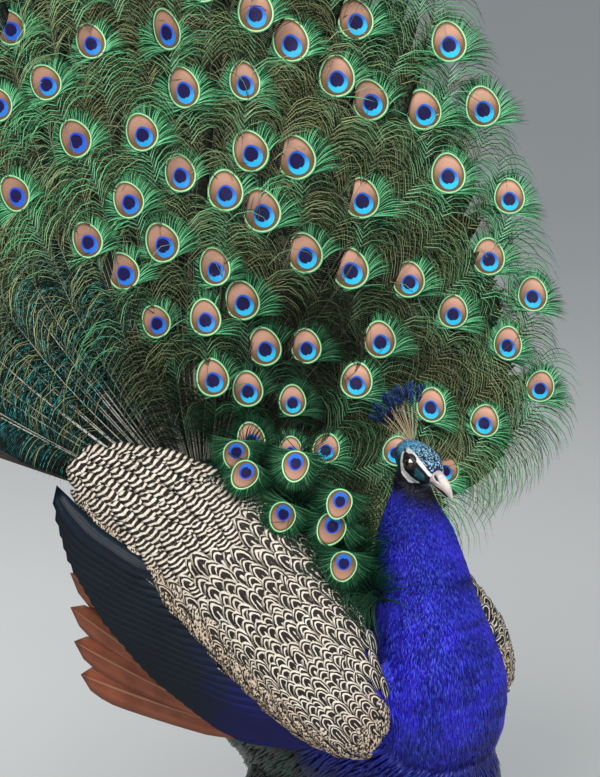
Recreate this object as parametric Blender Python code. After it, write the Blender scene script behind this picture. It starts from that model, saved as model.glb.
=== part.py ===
"""A life-size Indian peacock in display, standing on its own two feet.

Metres, +Z up. While it is built the bird faces -Y and its right side is -X, with x = 0 in the
plane that halves the trunk. At the end the whole bird is moved so that the middle of its
bounding box's foot is the origin. Solids reach out to the tips of the plumage.
"""

import math

import bmesh
import bpy
from mathutils import Vector

GAP = 0.0004  # left between neighbouring solids
PER_TIP = 3  # facets that round each feather tip
SLIVER = 0.00002  # what a cut leaves thinner than this is closed up

# Trunk: centre y, centre z, half width, half height, from the breast to the rump.
TRUNK = [
    (-0.213, 0.412, 0.014, 0.016),
    (-0.192, 0.414, 0.052, 0.058),
    (-0.140, 0.425, 0.084, 0.088),
    (-0.060, 0.446, 0.110, 0.106),
    (0.030, 0.478, 0.118, 0.110),
    (0.110, 0.516, 0.105, 0.096),
    (0.180, 0.560, 0.072, 0.070),
    (0.232, 0.598, 0.042, 0.042),
    (0.258, 0.616, 0.012, 0.012),
]
# Raised feathers of the lower back, from the mid back to the root of the train.
BACK = [
    (-0.005, 0.566, 0.022, 0.022),
    (0.040, 0.590, 0.066, 0.044),
    (0.100, 0.622, 0.084, 0.060),
    (0.160, 0.656, 0.078, 0.062),
    (0.205, 0.676, 0.046, 0.040),
    (0.222, 0.682, 0.016, 0.016),
]
# Neck: centre x, y, z, half width, half depth, from the skull down into the breast.
NECK = [
    (-0.010, -0.106, 0.748, 0.0145, 0.0145),
    (-0.0055, -0.1095, 0.730, 0.0208, 0.0200),
    (-0.007, -0.113, 0.708, 0.0312, 0.0295),
    (-0.009, -0.118, 0.685, 0.0422, 0.0400),
    (-0.009, -0.125, 0.655, 0.0497, 0.0452),
    (-0.0092, -0.1348, 0.612, 0.0588, 0.0548),
    (-0.0090, -0.1452, 0.570, 0.0702, 0.0622),
    (-0.0075, -0.1545, 0.528, 0.0785, 0.0680),
    (-0.006, -0.156, 0.487, 0.0765, 0.0645),
    (-0.003, -0.146, 0.446, 0.0650, 0.0570),
    (0.000, -0.132, 0.408, 0.0430, 0.0410),
]
NECK_PARTING = 0.632  # height of the cut between the two lengths of neck

# Head, in its own frame: forward along the bill, up to the crown, origin in mid skull.
SKULL = Vector((-0.0074, -0.1254, 0.7572))
HEAD_YAW = math.radians(-11)
HEAD_PITCH = math.radians(15)
# Forward, up, half width, half height.
HEAD = [
    (-0.0395, 0.0000, 0.0050, 0.0060),
    (-0.0355, -0.0005, 0.0107, 0.0125),
    (-0.0250, -0.0010, 0.0166, 0.0186),
    (-0.0085, -0.0008, 0.0199, 0.0217),
    (0.0090, -0.0008, 0.0198, 0.0215),
    (0.0220, -0.0018, 0.0146, 0.0167),
    (0.0310, -0.0038, 0.0090, 0.0113),
]
BILL = [
    (0.0290, -0.0040, 0.0075, 0.0098),
    (0.0390, -0.0032, 0.0060, 0.0081),
    (0.0475, -0.0045, 0.0045, 0.0063),
    (0.0550, -0.0077, 0.0030, 0.0044),
    (0.0605, -0.0122, 0.0013, 0.0020),
]
GAPE_START = (0.0290, -0.0066)  # forward and up, where the mandibles part at the cheek
GAPE_END = (0.0597, -0.0146)
LOWER_BILL = [  # forward, half width, half height of a section centred on the gape
    (0.0290, 0.0071, 0.0068),
    (0.0390, 0.0055, 0.0050),
    (0.0475, 0.0039, 0.0034),
    (0.0540, 0.0016, 0.0012),
]
EYE_PLACE = (0.0025, 0.0142, 0.0040)  # forward, sideways, up
EYE_RADIUS = 0.0076

# Crest: feathers fanned in the head's own middle plane, angles from straight up to the rear.
CREST_ROOT = (-0.0195, 0.0145)
CREST_ANGLES = (math.radians(7), math.radians(91))
CREST_REACH = 0.0630
CREST_TIPS = 12
CREST_THICK = 0.0018

# Wing shield of scapulars and coverts: shoulder, rear tip, and the way across it, all given
# for the bird's right. Its left wing droops a little more.
SHOULDER = {"right": Vector((-0.106, -0.162, 0.478)), "left": Vector((-0.096, -0.149, 0.506))}
SHIELD_END = {"right": Vector((-0.218, 0.183, 0.744)), "left": Vector((-0.181, 0.164, 0.553))}
SHIELD_ACROSS = {
    "right": Vector((0.42, -0.40, 0.815)).normalized(),
    "left": Vector((0.42, -0.24, 0.875)).normalized(),
}
SHIELD_BULGE = 0.030
SHIELD_RISE = {"right": 0.046, "left": 0.026}
# Share of the length, half width, half thickness.
SHIELD = [
    (0.00, 0.018, 0.010),
    (0.05, 0.042, 0.024),
    (0.16, 0.068, 0.032),
    (0.32, 0.080, 0.027),
    (0.50, 0.080, 0.016),
    (0.68, 0.071, 0.010),
    (0.84, 0.053, 0.007),
    (0.95, 0.030, 0.005),
    (1.00, 0.010, 0.003),
]
SECONDARIES = (0.16, 0.99)  # where along the shield the dark quills show below it
SECONDARY_REACH = 0.060
QUILL_THICK = 0.0030

# Primaries: a fan of rufous quills in a nearly upright plane, from the wrist to the rear.
WRIST = Vector((-0.146, -0.046, 0.470))
PRIMARY_ANGLES = {
    "right": (math.radians(-1), math.radians(43)),
    "left": (math.radians(-34), math.radians(12)),
}
PRIMARY_COUNT = 8
PRIMARY_REACH = 0.335
PRIMARY_LEAN_OUT = 0.16

# Train: feather rays from the rump, angles from straight up towards the bird's left.
TRAIN_ROOT = Vector((0.0, 0.205, 0.640))
TRAIN_TILT = math.radians(12)
TRAIN_ANGLES = (math.radians(-63), math.radians(99))
TRAIN_HALF_WIDTH = 0.605
TRAIN_HEIGHT = 0.880
TRAIN_EDGE_FALL = math.radians(17)  # over this angle the feathers grow shorter at either edge
TRAIN_SECTORS = 8
TRAIN_TIPS_PER_SECTOR = 3
TRAIN_RINGS = (0.050, 0.36, 0.69, 1.0)  # first in metres, the others as shares of the outline
TRAIN_THICK = (0.0080, 0.0040, 0.0022)
TRAIN_SLOPE, TRAIN_ARCH = -0.10, 0.31

# Tail: stiff quills that prop the train from behind.
TAIL_ROOT = Vector((0.0, 0.262, 0.648))
TAIL_TILT = math.radians(22)
TAIL_HALF_SPREAD = math.radians(66)
TAIL_REACH = 0.40
TAIL_COUNT = 16
TAIL_THICK = 0.0028

# Legs: hip, hock and ankle, with the left foot a step ahead of the right.
LEG_SPREAD = 0.056
THIGH_TOP = (0.012, 0.425)  # y, z
HOCK = (0.070, 0.182)
ANKLE_HEIGHT = 0.024
FOOT_Y = {"right": 0.050, "left": 0.012}
TOES = {  # heading in degrees from straight ahead, length, root radius
    "inner": (34, 0.058, 0.0062),
    "middle": (0, 0.076, 0.0068),
    "outer": (-34, 0.060, 0.0062),
    "hind": (172, 0.030, 0.0050),
}
CLAW = 0.015
SOLE_CUT = 0.0012  # depth the round toes are flattened by where they bear on the floor


def empty_the_scene():
    for obj in list(bpy.data.objects):
        bpy.data.objects.remove(obj, do_unlink=True)


def material(name, colour, roughness):
    made = bpy.data.materials.new(name)
    made.use_nodes = True
    shader = made.node_tree.nodes["Principled BSDF"]
    shader.inputs["Base Color"].default_value = (*colour, 1)
    shader.inputs["Roughness"].default_value = roughness
    return made


def object_from(mesh_maker, name, finish, group):
    """A named object whose closed mesh faces outwards."""
    mesh = bpy.data.meshes.new(name)
    work = bmesh.new()
    mesh_maker(work)
    bmesh.ops.remove_doubles(work, verts=work.verts, dist=1e-6)
    bmesh.ops.recalc_face_normals(work, faces=work.faces)
    work.to_mesh(mesh)
    work.free()
    mesh.materials.append(finish)
    obj = bpy.data.objects.new(name, mesh)
    group.objects.link(obj)
    return obj


def eased(rows, steps):
    """Rows of numbers with Catmull-Rom rows read between them."""
    found = []
    for i in range(len(rows) - 1):
        four = [rows[max(i - 1, 0)], rows[i], rows[i + 1], rows[min(i + 2, len(rows) - 1)]]
        for step in range(steps):
            t = step / steps
            found.append(
                tuple(
                    0.5
                    * (
                        2 * b
                        + (c - a) * t
                        + (2 * a - 5 * b + 4 * c - d) * t**2
                        + (3 * b - a - 3 * c + d) * t**3
                    )
                    for a, b, c, d in zip(*four)
                )
            )
    return found + [tuple(rows[-1])]


def bridge(work, rings):
    """Faces between neighbouring rings, and a fan over each end."""
    loops = [[work.verts.new(point) for point in ring] for ring in rings]
    around = len(loops[0])
    for near, far in zip(loops, loops[1:]):
        for i in range(around):
            j = (i + 1) % around
            work.faces.new((near[i], near[j], far[j], far[i]))
    for loop in (loops[0], loops[-1]):
        middle = sum((v.co for v in loop), Vector()) / around
        tip = work.verts.new(middle)
        for i in range(around):
            work.faces.new((loop[i], loop[(i + 1) % around], tip))


def ring(centre, across, rise, around):
    """An elliptical section whose half axes are the vectors across and rise."""
    turns = [2 * math.pi * i / around for i in range(around)]
    return [centre + across * math.cos(turn) + rise * math.sin(turn) for turn in turns]


def tube(path, around=12, side=Vector((1, 0, 0))):
    """A mesh maker for a round limb: rows of x, y, z, half width and half depth."""
    rings = []
    for i, (x, y, z, wide, deep) in enumerate(path):
        before = Vector(path[max(i - 1, 0)][:3])
        after = Vector(path[min(i + 1, len(path) - 1)][:3])
        along = (after - before).normalized()
        across = (side - along * side.dot(along)).normalized()
        rise = along.cross(across)
        rings.append(ring(Vector((x, y, z)), across * wide, rise * deep, around))
    return lambda work: bridge(work, rings)


def shell(surface, columns, rows, thick):
    """A mesh maker for a thin plate: surface(u, v) over columns of u and, in each, rows(u) of v."""

    def make(work):
        grid = [[surface(u, v) for v in rows(u)] for u in columns]
        front, back = [], []
        for i, line in enumerate(grid):
            near, far = grid[max(i - 1, 0)], grid[min(i + 1, len(grid) - 1)]
            front.append([])
            back.append([])
            for j, point in enumerate(line):
                along = line[min(j + 1, len(line) - 1)] - line[max(j - 1, 0)]
                normal = along.cross(far[j] - near[j]).normalized() * thick / 2
                front[i].append(work.verts.new(point + normal))
                back[i].append(work.verts.new(point - normal))
        last_i, last_j = len(grid) - 1, len(grid[0]) - 1
        for i in range(last_i):
            for j in range(last_j):
                for sheet in (front, back):
                    work.faces.new((sheet[i][j], sheet[i + 1][j], sheet[i + 1][j + 1], sheet[i][j + 1]))
        for i in range(last_i):
            for j in (0, last_j):
                work.faces.new((front[i][j], front[i + 1][j], back[i + 1][j], back[i][j]))
        for j in range(last_j):
            for i in (0, last_i):
                work.faces.new((front[i][j], front[i][j + 1], back[i][j + 1], back[i][j]))

    return make


def spaced(start, end, count):
    """count numbers from start to end, both included."""
    return [start + (end - start) * i / (count - 1) for i in range(count)]


def feathered(position, depth):
    """A share from 1 - depth to 1: rounded tips at each whole position and a half, notches between."""
    return 1 - depth * (1 - abs(math.sin(math.pi * position)) ** 0.6)


def mirrored(maker, side):
    """The same maker, on the bird's left where side is left."""
    if side == "right":
        return maker

    def make(work):
        maker(work)
        bmesh.ops.scale(work, vec=(-1, 1, 1), verts=work.verts)

    return make


def take_away(obj, *cutters):
    """Cuts the cutters from obj for good, leaving obj as a plain mesh."""
    for cutter in cutters:
        knife = obj.modifiers.new("cut", "BOOLEAN")
        knife.operation = "DIFFERENCE"
        knife.object = cutter
    settle(obj)


def join(obj, *others):
    for other in others:
        weld = obj.modifiers.new("join", "BOOLEAN")
        weld.operation = "UNION"
        weld.object = other
    settle(obj)
    for other in others:
        bpy.data.objects.remove(other, do_unlink=True)


def settle(obj):
    """Replaces the object's mesh by what its modifiers make of it, less the thinnest slivers."""
    bpy.context.view_layer.update()
    graph = bpy.context.evaluated_depsgraph_get()
    finished = bpy.data.meshes.new_from_object(obj.evaluated_get(graph))
    obj.modifiers.clear()
    work = bmesh.new()
    work.from_mesh(finished)
    bmesh.ops.triangulate(work, faces=work.faces)
    bmesh.ops.dissolve_degenerate(work, dist=SLIVER, edges=work.edges)
    bmesh.ops.remove_doubles(work, verts=work.verts, dist=SLIVER)
    work.to_mesh(finished)
    work.free()
    obj.data = finished


def keep_side(obj, point, normal):
    """Cuts off what lies on the normal's side of a plane, and closes the cut."""
    work = bmesh.new()
    work.from_mesh(obj.data)
    cut = bmesh.ops.bisect_plane(
        work,
        geom=work.verts[:] + work.edges[:] + work.faces[:],
        plane_co=point,
        plane_no=normal,
        clear_outer=True,
    )
    edges = [e for e in cut["geom_cut"] if isinstance(e, bmesh.types.BMEdge)]
    bmesh.ops.contextual_create(work, geom=edges)
    bmesh.ops.recalc_face_normals(work, faces=work.faces)
    work.to_mesh(obj.data)
    work.free()


def grown(path, more):
    """A tube's path with both radii larger, and its two ends that much further out."""
    wider = [(*row[:3], row[3] + more, row[4] + more) for row in path]
    for end, beside in ((0, 1), (-1, -2)):
        tip = Vector(path[end][:3])
        tip += (tip - Vector(path[beside][:3])).normalized() * more
        wider[end] = (*tip, *wider[end][3:])
    return wider


def trunk_path(more=0.0):
    return grown([(0.0, *row) for row in eased(TRUNK, 2)], more)


def neck_path(more=0.0):
    return grown(eased(NECK, 2), more)


def head_axes():
    """The head's forward, right and up."""
    flat = Vector((math.sin(HEAD_YAW), -math.cos(HEAD_YAW), 0))
    forward = flat * math.cos(HEAD_PITCH) - Vector((0, 0, math.sin(HEAD_PITCH)))
    right = Vector((-math.cos(HEAD_YAW), -math.sin(HEAD_YAW), 0))
    return forward, right, right.cross(forward).normalized()


def on_head(forward, sideways, up):
    ahead, right, crown = head_axes()
    return SKULL + ahead * forward + right * sideways + crown * up


def head_path(rows, more=0.0):
    path = [(*on_head(f, 0, u), wide, high) for f, u, wide, high in eased(rows, 2)]
    return grown(path, more)


def build_body(group, finishes, cutters):
    """Trunk, two lengths of neck, head with eye sockets, eyes and bill."""
    right = head_axes()[1]
    trunk = object_from(tube(trunk_path(), 16), "trunk", finishes["blue"], group)
    trunk_cutter = object_from(tube(trunk_path(4 * GAP), 16), "trunk_cutter", finishes["blue"], cutters)
    head = object_from(tube(head_path(HEAD), 16, side=right), "head", finishes["blue"], group)
    head_cutter = object_from(
        tube(head_path(HEAD, GAP), 16, side=right), "head_cutter", finishes["blue"], cutters
    )
    for side, sign in (("right", 1), ("left", -1)):
        forward, sideways, up = EYE_PLACE
        centre = on_head(forward, sign * sideways, up)
        for name, radius, where in (
            (f"eye_{side}", EYE_RADIUS, group),
            (f"socket_{side}", EYE_RADIUS + GAP, cutters),
        ):
            ball = object_from(
                lambda work, r=radius: bmesh.ops.create_uvsphere(work, u_segments=10, v_segments=7, radius=r),
                name,
                finishes["eye"],
                where,
            )
            ball.location = centre
        take_away(head, bpy.data.objects[f"socket_{side}"])

    start, end = on_head(GAPE_START[0], 0, GAPE_START[1]), on_head(GAPE_END[0], 0, GAPE_END[1])
    fall = (GAPE_END[1] - GAPE_START[1]) / (GAPE_END[0] - GAPE_START[0])
    lower = [(f, GAPE_START[1] + fall * (f - GAPE_START[0]), wide, high) for f, wide, high in LOWER_BILL]
    above_gape = right.cross(end - start).normalized()
    for name, rows, sign in (("bill_upper", BILL, 1), ("bill_lower", lower, -1)):
        bill = object_from(tube(head_path(rows), 12, side=right), name, finishes["bill"], group)
        keep_side(bill, start + above_gape * sign * GAP / 2, -above_gape * sign)
        take_away(bill, head_cutter)
    chin_cutter = object_from(
        tube(head_path(lower, GAP), 12, side=right), "chin_cutter", finishes["bill"], cutters
    )

    for name, down in (("neck_upper", -1), ("neck_lower", 1)):
        neck = object_from(tube(neck_path(), 16), name, finishes["blue"], group)
        parting = Vector((0, 0, NECK_PARTING - down * GAP / 2))
        keep_side(neck, parting, Vector((0, 0, down)))
        take_away(neck, *((trunk_cutter,) if down > 0 else (head_cutter, chin_cutter)))
    neck_cutter = object_from(tube(neck_path(3 * GAP), 16), "neck_cutter", finishes["blue"], cutters)
    return trunk_cutter, neck_cutter, head_cutter


def build_back(group, finishes, cutters, trunk_cutter):
    path = [(0.0, *row) for row in eased(BACK, 2)]
    back = object_from(tube(path, 14), "back", finishes["train"], group)
    take_away(back, trunk_cutter)
    return object_from(tube(grown(path, 3 * GAP), 14), "back_cutter", finishes["train"], cutters)


def build_crest(group, finishes, head_cutter):
    ahead, _, crown = head_axes()
    root = on_head(CREST_ROOT[0], 0, CREST_ROOT[1])
    start, end = CREST_ANGLES

    def surface(angle, reach):
        return root + (crown * math.cos(angle) - ahead * math.sin(angle)) * reach

    def reaches(angle):
        share = (angle - start) / (end - start)
        tip = CREST_REACH * (1 + 0.02 * share) * feathered(share * CREST_TIPS, 0.10)
        return spaced(0.001, tip, 2)

    columns = spaced(start, end, CREST_TIPS * PER_TIP + 1)
    crest = object_from(shell(surface, columns, reaches, CREST_THICK), "crest", finishes["crest"], group)
    take_away(crest, head_cutter)


def shield_middle(side, share):
    """Mid line of the wing shield, bowed outwards and up."""
    swell = math.sin(math.pi * share)
    bow = Vector((-SHIELD_BULGE * swell, 0, 0)) + SHIELD_ACROSS[side] * SHIELD_RISE[side] * swell
    return SHOULDER[side].lerp(SHIELD_END[side], share) + bow


def shield_maker(side, more=0.0):
    inward = (SHIELD_END[side] - SHOULDER[side]).cross(SHIELD_ACROSS[side]).normalized()
    rings = []
    for share, wide, thick in eased(SHIELD, 2):
        across = SHIELD_ACROSS[side] * (wide + more)
        rings.append(ring(shield_middle(side, share), across, inward * (thick + more), 12))
    return lambda work: bridge(work, rings)


def build_wing(side, group, finishes, cutters, body_cutters):
    """Shield, dark secondaries below it and the rufous fan of primaries inside both."""
    wing = object_from(mirrored(shield_maker(side), side), f"wing_{side}", finishes["barred"], group)
    take_away(wing, *body_cutters)
    cutter = object_from(
        mirrored(shield_maker(side, 3 * GAP), side), f"wing_{side}_cutter", finishes["barred"], cutters
    )
    start, end = SECONDARIES
    rows = eased(SHIELD, 4)

    def band(share, drop):
        half_wide = next(row[1] for row in rows if row[0] >= share - 1e-6)
        return shield_middle(side, share) - SHIELD_ACROSS[side] * (half_wide + drop)

    def drops(share):
        place = (share - start) / (end - start)
        reach = SECONDARY_REACH * math.sin(math.pi * (0.06 + 0.88 * place)) ** 0.6
        return spaced(-0.010, reach, 3)

    quills = object_from(
        mirrored(shell(band, spaced(start, end, 11), drops, QUILL_THICK), side),
        f"secondaries_{side}",
        finishes["dark"],
        group,
    )
    take_away(quills, cutter)

    low, high = PRIMARY_ANGLES[side]

    def fan(angle, reach):
        lean = Vector((-PRIMARY_LEAN_OUT * reach, 0, 0))
        return WRIST + Vector((0, math.cos(angle), math.sin(angle))) * reach + lean

    def reaches(angle):
        share = (angle - low) / (high - low)
        longest = PRIMARY_REACH * (0.80 + 0.20 * share)
        return spaced(0.004, longest * feathered(share * PRIMARY_COUNT, 0.22), 3)

    primaries = object_from(
        mirrored(shell(fan, spaced(low, high, PRIMARY_COUNT * PER_TIP + 1), reaches, QUILL_THICK), side),
        f"primaries_{side}",
        finishes["rufous"],
        group,
    )
    take_away(primaries, cutter)


def train_point(angle, reach):
    """A point of the train's dish, reach metres out along the ray at that angle."""
    up = Vector((0, math.sin(TRAIN_TILT), math.cos(TRAIN_TILT)))
    forward = Vector((0, -math.cos(TRAIN_TILT), math.sin(TRAIN_TILT)))
    arch = TRAIN_SLOPE * reach + TRAIN_ARCH * reach**2
    out = Vector((math.sin(angle), 0, 0)) + up * math.cos(angle)
    return TRAIN_ROOT + out * reach + forward * arch


def train_outline(angle):
    """How far the longest feathers reach at that angle: an ellipse, drawn in at both edges."""
    wide, tall = TRAIN_HALF_WIDTH, TRAIN_HEIGHT
    ellipse = wide * tall / math.hypot(wide * math.cos(angle), tall * math.sin(angle))
    first, last = TRAIN_ANGLES
    inside = min(angle - first, last - angle) / TRAIN_EDGE_FALL
    return ellipse * (1 - 0.26 * max(0.0, 1 - inside) ** 2)


def build_train(group, finishes, body_cutters):
    """Sectors in three rings: the scaled base, the middle and the fringed outer feathers."""
    first, last = TRAIN_ANGLES
    step = (last - first) / TRAIN_SECTORS
    for ring_number, ring_name in enumerate(("inner", "middle", "outer")):
        inner, outer = TRAIN_RINGS[ring_number], TRAIN_RINGS[ring_number + 1]
        is_outer = ring_name == "outer"
        columns = TRAIN_TIPS_PER_SECTOR * PER_TIP + 1 if is_outer else 4

        def reaches(angle, inner=inner, outer=outer, number=ring_number, is_outer=is_outer):
            edge = train_outline(angle)
            start = inner if number == 0 else inner * edge + 3 * GAP
            tips = (angle - first) / step * TRAIN_TIPS_PER_SECTOR
            end = edge * feathered(tips, 0.045) if is_outer else outer * edge
            return spaced(start, end, 3)

        for sector in range(TRAIN_SECTORS):
            low = first + step * sector
            margin = GAP / (inner if ring_number == 0 else 0.15)
            angles = spaced(low + margin, low + step - margin, columns)
            piece = object_from(
                shell(train_point, angles, reaches, TRAIN_THICK[ring_number]),
                f"train_{ring_name}_{sector + 1}",
                finishes["train"],
                group,
            )
            if ring_number == 0:
                take_away(piece, *body_cutters)


def build_tail(group, finishes, body_cutters):
    up = Vector((0, math.sin(TAIL_TILT), math.cos(TAIL_TILT)))

    def surface(angle, reach):
        return TAIL_ROOT + (Vector((math.sin(angle), 0, 0)) + up * math.cos(angle)) * reach

    def reaches(angle):
        share = (angle + TAIL_HALF_SPREAD) / (2 * TAIL_HALF_SPREAD)
        return spaced(0.008, TAIL_REACH * feathered(share * TAIL_COUNT, 0.07), 2)

    columns = spaced(-TAIL_HALF_SPREAD, TAIL_HALF_SPREAD, TAIL_COUNT * PER_TIP + 1)
    tail = object_from(shell(surface, columns, reaches, TAIL_THICK), "tail", finishes["tail"], group)
    take_away(tail, *body_cutters)


def build_leg(side, group, finishes, trunk_cutter, ground):
    """Feathered thigh, bare shank with its spur, and a foot of four clawed toes."""
    x = LEG_SPREAD if side == "left" else -LEG_SPREAD
    foot_y = FOOT_Y[side]
    top_y, top_z = THIGH_TOP
    hock_y, hock_z = HOCK
    hock_y += (foot_y - FOOT_Y["left"]) * 0.6
    thigh_rows = [
        (x * 1.05, top_y, top_z, 0.030, 0.045),
        (x * 1.10, top_y + 0.010, top_z - 0.060, 0.043, 0.062),
        (x * 1.08, top_y + 0.030, top_z - 0.120, 0.034, 0.045),
        (x, hock_y - 0.012, hock_z + 0.055, 0.019, 0.023),
        (x, hock_y + 0.001, hock_z - 0.004, 0.011, 0.013),
    ]
    thigh = object_from(tube(eased(thigh_rows, 2), 12), f"thigh_{side}", finishes["down"], group)
    keep_side(thigh, Vector((0, 0, hock_z)), Vector((0, 0, -1)))
    take_away(thigh, trunk_cutter)

    shank_rows = [
        (x, hock_y, hock_z + 0.004, 0.0105, 0.0115),
        (x, hock_y - 0.004, hock_z - 0.020, 0.0072, 0.0085),
        (x, foot_y + 0.012, ANKLE_HEIGHT + 0.030, 0.0062, 0.0072),
        (x, foot_y + 0.004, ANKLE_HEIGHT - 0.004, 0.0085, 0.0090),
    ]
    shank = object_from(tube(eased(shank_rows, 2), 8), f"shank_{side}", finishes["horn"], group)
    keep_side(shank, Vector((0, 0, hock_z - GAP)), Vector((0, 0, 1)))
    keep_side(shank, Vector((0, 0, ANKLE_HEIGHT)), Vector((0, 0, -1)))
    spur_rows = [
        (x, foot_y + 0.018, 0.078, 0.0050, 0.0050),
        (x, foot_y + 0.032, 0.079, 0.0034, 0.0034),
        (x, foot_y + 0.044, 0.086, 0.0010, 0.0010),
    ]
    join(shank, object_from(tube(spur_rows, 8), "spur", finishes["horn"], group))

    pad_rows = [
        (x, foot_y + 0.002, ANKLE_HEIGHT + 0.003, 0.0080, 0.0085),
        (x, foot_y - 0.001, 0.012, 0.0100, 0.0110),
        (x, foot_y - 0.002, -SOLE_CUT, 0.0095, 0.0105),
    ]
    foot = object_from(tube(pad_rows, 10), f"foot_{side}", finishes["horn"], group)
    keep_side(foot, Vector((0, 0, ANKLE_HEIGHT - GAP)), Vector((0, 0, 1)))
    toes = []
    for name, (heading, length, radius) in TOES.items():
        turn = math.radians(heading if side == "left" else -heading)
        out = Vector((math.sin(turn), -math.cos(turn), 0))
        root = Vector((x, foot_y - 0.002, 0))
        claw_radius = radius * 0.42
        rows = [  # distance out, half width, half height, height of the middle
            (-0.0030, radius * 0.90, radius * 0.95, radius * 0.95 - SOLE_CUT),
            (length * 0.35, radius * 0.92, radius * 0.85, radius * 0.85 - SOLE_CUT),
            (length * 0.55, radius * 0.80, radius * 0.86, radius * 0.86 - SOLE_CUT),
            (length * 0.85, radius * 0.72, radius * 0.78, radius * 0.78 - SOLE_CUT),
            (length, radius * 0.50, radius * 0.62, radius * 0.70),
            (length + CLAW * 0.55, claw_radius, claw_radius * 1.2, radius * 0.62),
            (length + CLAW, 0.0008, 0.0009, 0.0016),
        ]
        path = [(*(root + out * far), high, wide, deep) for far, wide, deep, high in rows]
        path = [(x_at, y_at, high, wide, deep) for x_at, y_at, _, high, wide, deep in path]
        across = Vector((out.y, -out.x, 0))
        toes.append(object_from(tube(path, 6, side=across), "toe_" + name, finishes["horn"], group))
    join(foot, *toes)
    take_away(foot, ground)


def set_on_origin(group):
    """Parents the bird to one empty and moves it, so that its box stands on the origin."""
    stand = bpy.data.objects.new("bird", None)
    group.objects.link(stand)
    nodes = [obj for obj in group.objects if obj.type == "MESH"]
    for node in nodes:
        node.parent = stand
        node.data.shade_smooth()
        node.data.set_sharp_from_angle(angle=math.radians(50))
    bpy.context.view_layer.update()
    corners = [node.matrix_world @ Vector(corner) for node in nodes for corner in node.bound_box]
    low = Vector(min(corner[i] for corner in corners) for i in range(3))
    high = Vector(max(corner[i] for corner in corners) for i in range(3))
    stand.location = (-(low.x + high.x) / 2, -(low.y + high.y) / 2, -low.z)


def main():
    empty_the_scene()
    group = bpy.data.collections.new("peacock")
    cutters = bpy.data.collections.new("cutters")
    for collection in (group, cutters):
        bpy.context.scene.collection.children.link(collection)
    finishes = {
        "blue": material("cobalt_plumage", (0.010, 0.020, 0.36), 0.45),
        "eye": material("brown_eye", (0.020, 0.010, 0.006), 0.08),
        "bill": material("pale_horn_bill", (0.55, 0.50, 0.45), 0.40),
        "crest": material("crest_plumage", (0.020, 0.060, 0.24), 0.50),
        "barred": material("barred_plumage", (0.45, 0.39, 0.31), 0.60),
        "dark": material("blue_black_quills", (0.008, 0.014, 0.050), 0.40),
        "rufous": material("rufous_quills", (0.42, 0.115, 0.045), 0.50),
        "train": material("green_train", (0.050, 0.110, 0.045), 0.50),
        "tail": material("grey_brown_quills", (0.130, 0.095, 0.080), 0.60),
        "down": material("buff_down", (0.16, 0.12, 0.09), 0.80),
        "horn": material("grey_brown_scales", (0.20, 0.165, 0.13), 0.55),
    }
    trunk_cutter, neck_cutter, head_cutter = build_body(group, finishes, cutters)
    ground = object_from(
        lambda work: bmesh.ops.create_cube(work, size=0.5), "ground_cutter", finishes["horn"], cutters
    )
    ground.location = (0, 0, -0.25)
    build_crest(group, finishes, head_cutter)
    back_cutter = build_back(group, finishes, cutters, trunk_cutter)
    for side in ("right", "left"):
        build_wing(side, group, finishes, cutters, (trunk_cutter, neck_cutter, back_cutter))
        build_leg(side, group, finishes, trunk_cutter, ground)
    build_train(group, finishes, (trunk_cutter, back_cutter))
    build_tail(group, finishes, (trunk_cutter, back_cutter))
    for cutter in cutters.objects:
        cutter.hide_render = True
        cutter.display_type = "WIRE"
    set_on_origin(group)


main()
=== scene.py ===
import math

import bpy
import numpy as np
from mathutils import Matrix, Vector
from mathutils.bvhtree import BVHTree


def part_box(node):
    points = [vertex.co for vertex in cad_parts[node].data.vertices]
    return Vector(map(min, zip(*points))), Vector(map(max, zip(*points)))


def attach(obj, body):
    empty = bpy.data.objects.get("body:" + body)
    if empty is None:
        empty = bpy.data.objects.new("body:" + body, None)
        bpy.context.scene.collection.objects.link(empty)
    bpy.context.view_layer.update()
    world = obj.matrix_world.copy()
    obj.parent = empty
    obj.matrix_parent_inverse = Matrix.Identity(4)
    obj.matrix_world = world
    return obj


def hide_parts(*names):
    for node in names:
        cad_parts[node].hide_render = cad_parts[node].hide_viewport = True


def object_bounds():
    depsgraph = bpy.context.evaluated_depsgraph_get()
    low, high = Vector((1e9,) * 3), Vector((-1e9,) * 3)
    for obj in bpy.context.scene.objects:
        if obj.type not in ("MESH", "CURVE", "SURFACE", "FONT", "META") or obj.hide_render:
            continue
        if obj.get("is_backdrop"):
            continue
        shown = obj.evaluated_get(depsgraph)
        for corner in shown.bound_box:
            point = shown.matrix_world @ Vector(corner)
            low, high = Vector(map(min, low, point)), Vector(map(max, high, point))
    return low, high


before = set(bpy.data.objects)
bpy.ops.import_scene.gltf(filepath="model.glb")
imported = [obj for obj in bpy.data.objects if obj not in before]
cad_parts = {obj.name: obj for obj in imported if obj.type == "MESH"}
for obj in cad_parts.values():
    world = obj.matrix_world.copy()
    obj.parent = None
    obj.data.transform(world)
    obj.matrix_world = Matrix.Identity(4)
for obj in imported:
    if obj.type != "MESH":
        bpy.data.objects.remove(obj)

CAD_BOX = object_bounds()

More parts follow.
